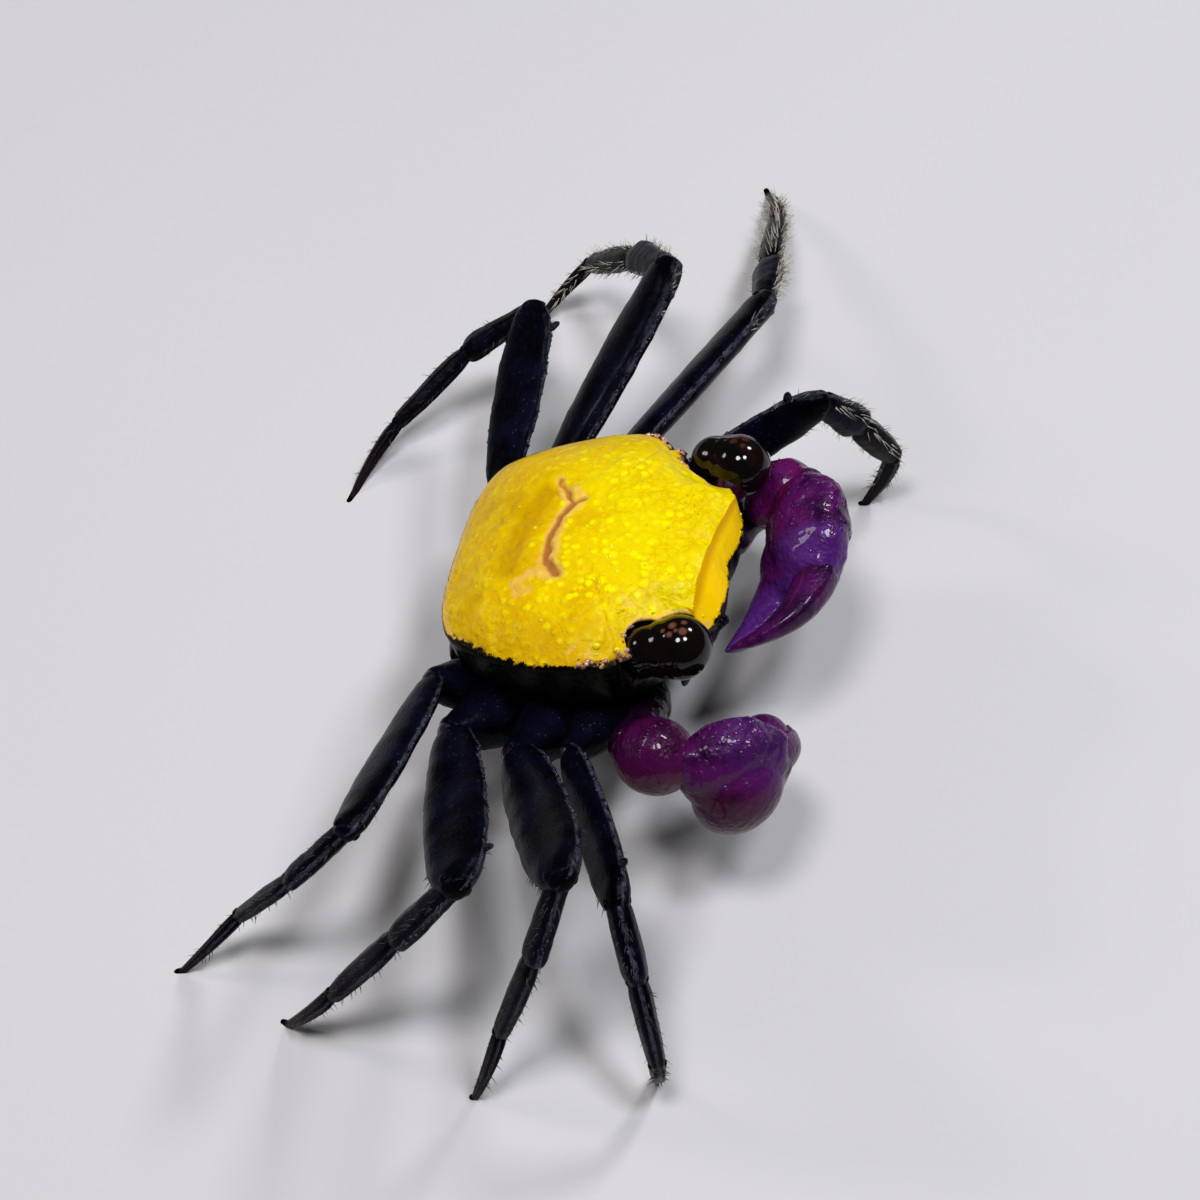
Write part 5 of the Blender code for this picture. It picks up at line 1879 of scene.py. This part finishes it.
@dataclass
class Underside:
    """The breast with its plates, and the tail folded under it."""

    finishes: Finishes
    levels: Tuple[Row, ...] = (
        (-4.7, 5.4, -4.8, 4.7),
        (-5.8, 4.9, -4.6, 4.5),
        (-6.8, 4.0, -4.2, 4.1),
        (-7.4, 2.9, -3.4, 3.4),
    )
    seams: Tuple[float, ...] = (3.6, 1.75, -0.25, -2.2)
    tail: Tuple[Row, ...] = (
        (-5.35, -4.85, 2.5),
        (-5.55, -5.7, 2.6),
        (-5.15, -6.8, 2.5),
        (-4.1, -7.75, 2.3),
        (-2.5, -8.05, 1.9),
        (-0.7, -8.1, 1.5),
        (1.0, -8.05, 0.95),
        (2.1, -7.95, 0.4),
    )

    def build(self) -> None:
        """Makes both pieces."""
        self.build_breast()
        self.build_tail()

    def build_breast(self) -> None:
        """Makes the breast, with a seam before each pair of legs and one down the middle."""
        side_rings, cap_rings = 34, 26
        along = side_rings + 2 * cap_rings
        rows = [(-z, *rest) for z, *rest in self.levels]

        def shape(ring: int, angle: float) -> Tuple[Vector, Tone]:
            """The place and tone of one point."""
            c, s = math.cos(angle), math.sin(angle)
            share = min(1.0, ring / cap_rings, (along - ring) / cap_rings)
            z = max(0.0, min(1.0, (ring - cap_rings) / side_rings))
            z = self.levels[0][0] + (self.levels[-1][0] - self.levels[0][0]) * z
            half, rear, front = smooth_row(rows, -z)
            middle, reach = (front + rear) / 2, (front - rear) / 2
            x = middle + reach * math.copysign(abs(c) ** 0.7, c) * share
            y = half * math.copysign(abs(s) ** 0.7, s) * share
            lower = ring > cap_rings
            bent = [x - seam - 0.10 * abs(y) for seam in self.seams]
            seam = max([hill(b, 0.10) for b in bent] + [0.7 * hill(y, 0.12)]) if lower else 0.0
            swell = 0.22 * (1 - share ** 2) if ring > cap_rings + side_rings else 0.0
            inward = 1 - 0.022 * seam
            return Vector((x * inward, y * inward, z - swell + 0.12 * seam * (share < 1))), (seam, 0.0, 0.0)

        skin = Skin()
        skin.ball(160, along, shape)
        skin.finish("breast", BODY, self.finishes.underside, Slot.UNDERSIDE, ["thorax"])

    def build_tail(self) -> None:
        """Makes the folded tail, whose plates overlap like tiles."""
        knots = [(float(k), x, z, half) for k, (x, z, half) in enumerate(self.tail)]
        plates, along = len(knots) - 1, 150

        def shape(ring: int, angle: float) -> Tuple[Vector, Tone]:
            """The place and tone of one point."""
            way = plates * max(0.0, min(1.0, (ring - 4) / (along - 8)))
            x, z, half = smooth_row(knots, way)
            ahead, behind = smooth_row(knots, min(plates, way + 0.05)), smooth_row(knots, max(0, way - 0.05))
            run = Vector((ahead[0] - behind[0], 0, ahead[1] - behind[1])).normalized()
            out = Vector((run.z, 0, -run.x))
            part = way % 1.0
            step = 0.10 * (1 - part) if 0 < way < plates else 0.0
            seam = hill(part, 0.07) + hill(part - 1, 0.05) if 0.3 < way < plates - 0.3 else 0.0
            round_end = math.sin(math.pi / 2 * min(1.0, ring / 4, (along - ring) / 4))
            c, s = math.cos(angle), math.sin(angle)
            thick = (0.30 + step - 0.06 * seam) if s > 0 else 0.18
            lean = out * (thick * s) * round_end
            y = half * math.copysign(abs(c) ** 0.9, c) * round_end * (1 - 0.03 * seam)
            ridge = out * 0.10 * hill(y, half * 0.35) * (s > 0) * round_end
            return Vector((x, y, z)) + lean + ridge, (min(1.0, seam), 0.0, 0.0)

        skin = Skin()
        skin.ball(56, along, shape)
        skin.finish("tail", BODY, self.finishes.underside, Slot.UNDERSIDE, ["abdomen"])


# The studio


@dataclass(frozen=True)
class Lamp:
    """A soft lamp: where it stands in millimetres, its size, its power and its colour."""

    name: str
    place: Tone
    size: float
    power: float
    colour: Colour = (1.0, 1.0, 1.0)


@dataclass
class Studio:
    """The floor, the light and the camera."""

    lamps: Tuple[Lamp, ...] = (
        Lamp("key", (-20.0, -60.0, 270.0), 66.0, 0.33, (0.98, 0.98, 1.0)),
        Lamp("second", (80.0, -20.0, 240.0), 50.0, 0.26, (0.92, 0.95, 1.0)),
        Lamp("rim", (110.0, 160.0, 200.0), 50.0, 0.24, (0.95, 0.97, 1.0)),
        Lamp("low", (-210.0, 20.0, 150.0), 60.0, 0.10, (1.0, 0.98, 0.95)),
    )
    floor_colour: Colour = (0.62, 0.60, 0.61)

    def build(self) -> None:
        """Sets up the scene."""
        self.build_floor()
        for lamp in self.lamps:
            self.add_lamp(lamp)
        self.build_camera()
        world = bpy.data.worlds.new("studio")
        world.use_nodes = True
        background = world.node_tree.nodes["Background"]
        background.inputs["Color"].default_value = (0.93, 0.95, 1.0, 1.0)
        background.inputs["Strength"].default_value = 0.05
        bpy.context.scene.world = world
        bpy.context.scene.view_settings.view_transform = "Standard"

    def build_floor(self) -> None:
        """Makes the plain pale floor."""
        bm = bmesh.new()
        bmesh.ops.create_grid(bm, x_segments=2, y_segments=2, size=1.5)
        mesh = bpy.data.meshes.new("floor")
        bm.to_mesh(mesh)
        bm.free()
        floor = bpy.data.objects.new("floor", mesh)
        bpy.context.scene.collection.objects.link(floor)
        g = Graph("pale_floor")
        made = g.node("ShaderNodeTexCoord")
        at = Signal(g, made.outputs["Object"])
        cloud = g.noise(at, 14.0, 3.0)
        lighter = tuple(min(1.0, c * 1.05) for c in self.floor_colour)
        values = {"Base Color": g.blend(cloud, self.floor_colour, lighter), "Roughness": 0.75}
        mesh.materials.append(g.finish({**values, "Specular IOR Level": 0.2}))

    def add_lamp(self, lamp: Lamp) -> None:
        """Hangs one lamp, turned to the crab."""
        light = bpy.data.lights.new(lamp.name, "AREA")
        light.shape = "DISK"
        light.size = lamp.size * MM
        light.energy = lamp.power
        light.color = lamp.colour
        made = bpy.data.objects.new(lamp.name, light)
        made.location = Vector(lamp.place) * MM
        aim = Vector((2.0, -3.0, 6.0)) * MM - made.location
        made.rotation_euler = aim.to_track_quat("-Z", "Y").to_euler()
        bpy.context.scene.collection.objects.link(made)

    def build_camera(self) -> None:
        """Sets the camera where the photographer stood."""
        camera = bpy.data.cameras.new("camera")
        camera.sensor_width = 36.0
        camera.lens = 36.0 * 3346.6 / 1200.0
        camera.clip_start = 0.005
        made = bpy.data.objects.new("camera", camera)
        turn = Matrix(((0.983, 0.1818, -0.0253), (-0.133, 0.8004, 0.5845), (0.1265, -0.5712, 0.811)))
        place = Matrix.Translation(Vector((20.824, -90.801, 128.78)) * MM)
        made.matrix_world = place @ turn.transposed().to_4x4()
        bpy.context.scene.collection.objects.link(made)
        bpy.context.scene.camera = made


def main() -> None:
    """Builds the crab and its studio, piece by piece."""
    logging.basicConfig(level=logging.INFO, format="%(message)s")
    finishes = Finishes()
    Carapace(finishes).build()
    Face(finishes).build()
    Underside(finishes).build()
    for side in Side:
        ClawLimb(side, finishes).build()
        for pair in range(len(LEG_NAMES)):
            WalkingLeg(pair, side, finishes).build()
    Studio().build()
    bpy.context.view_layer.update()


if __name__ == "__main__":
    main()
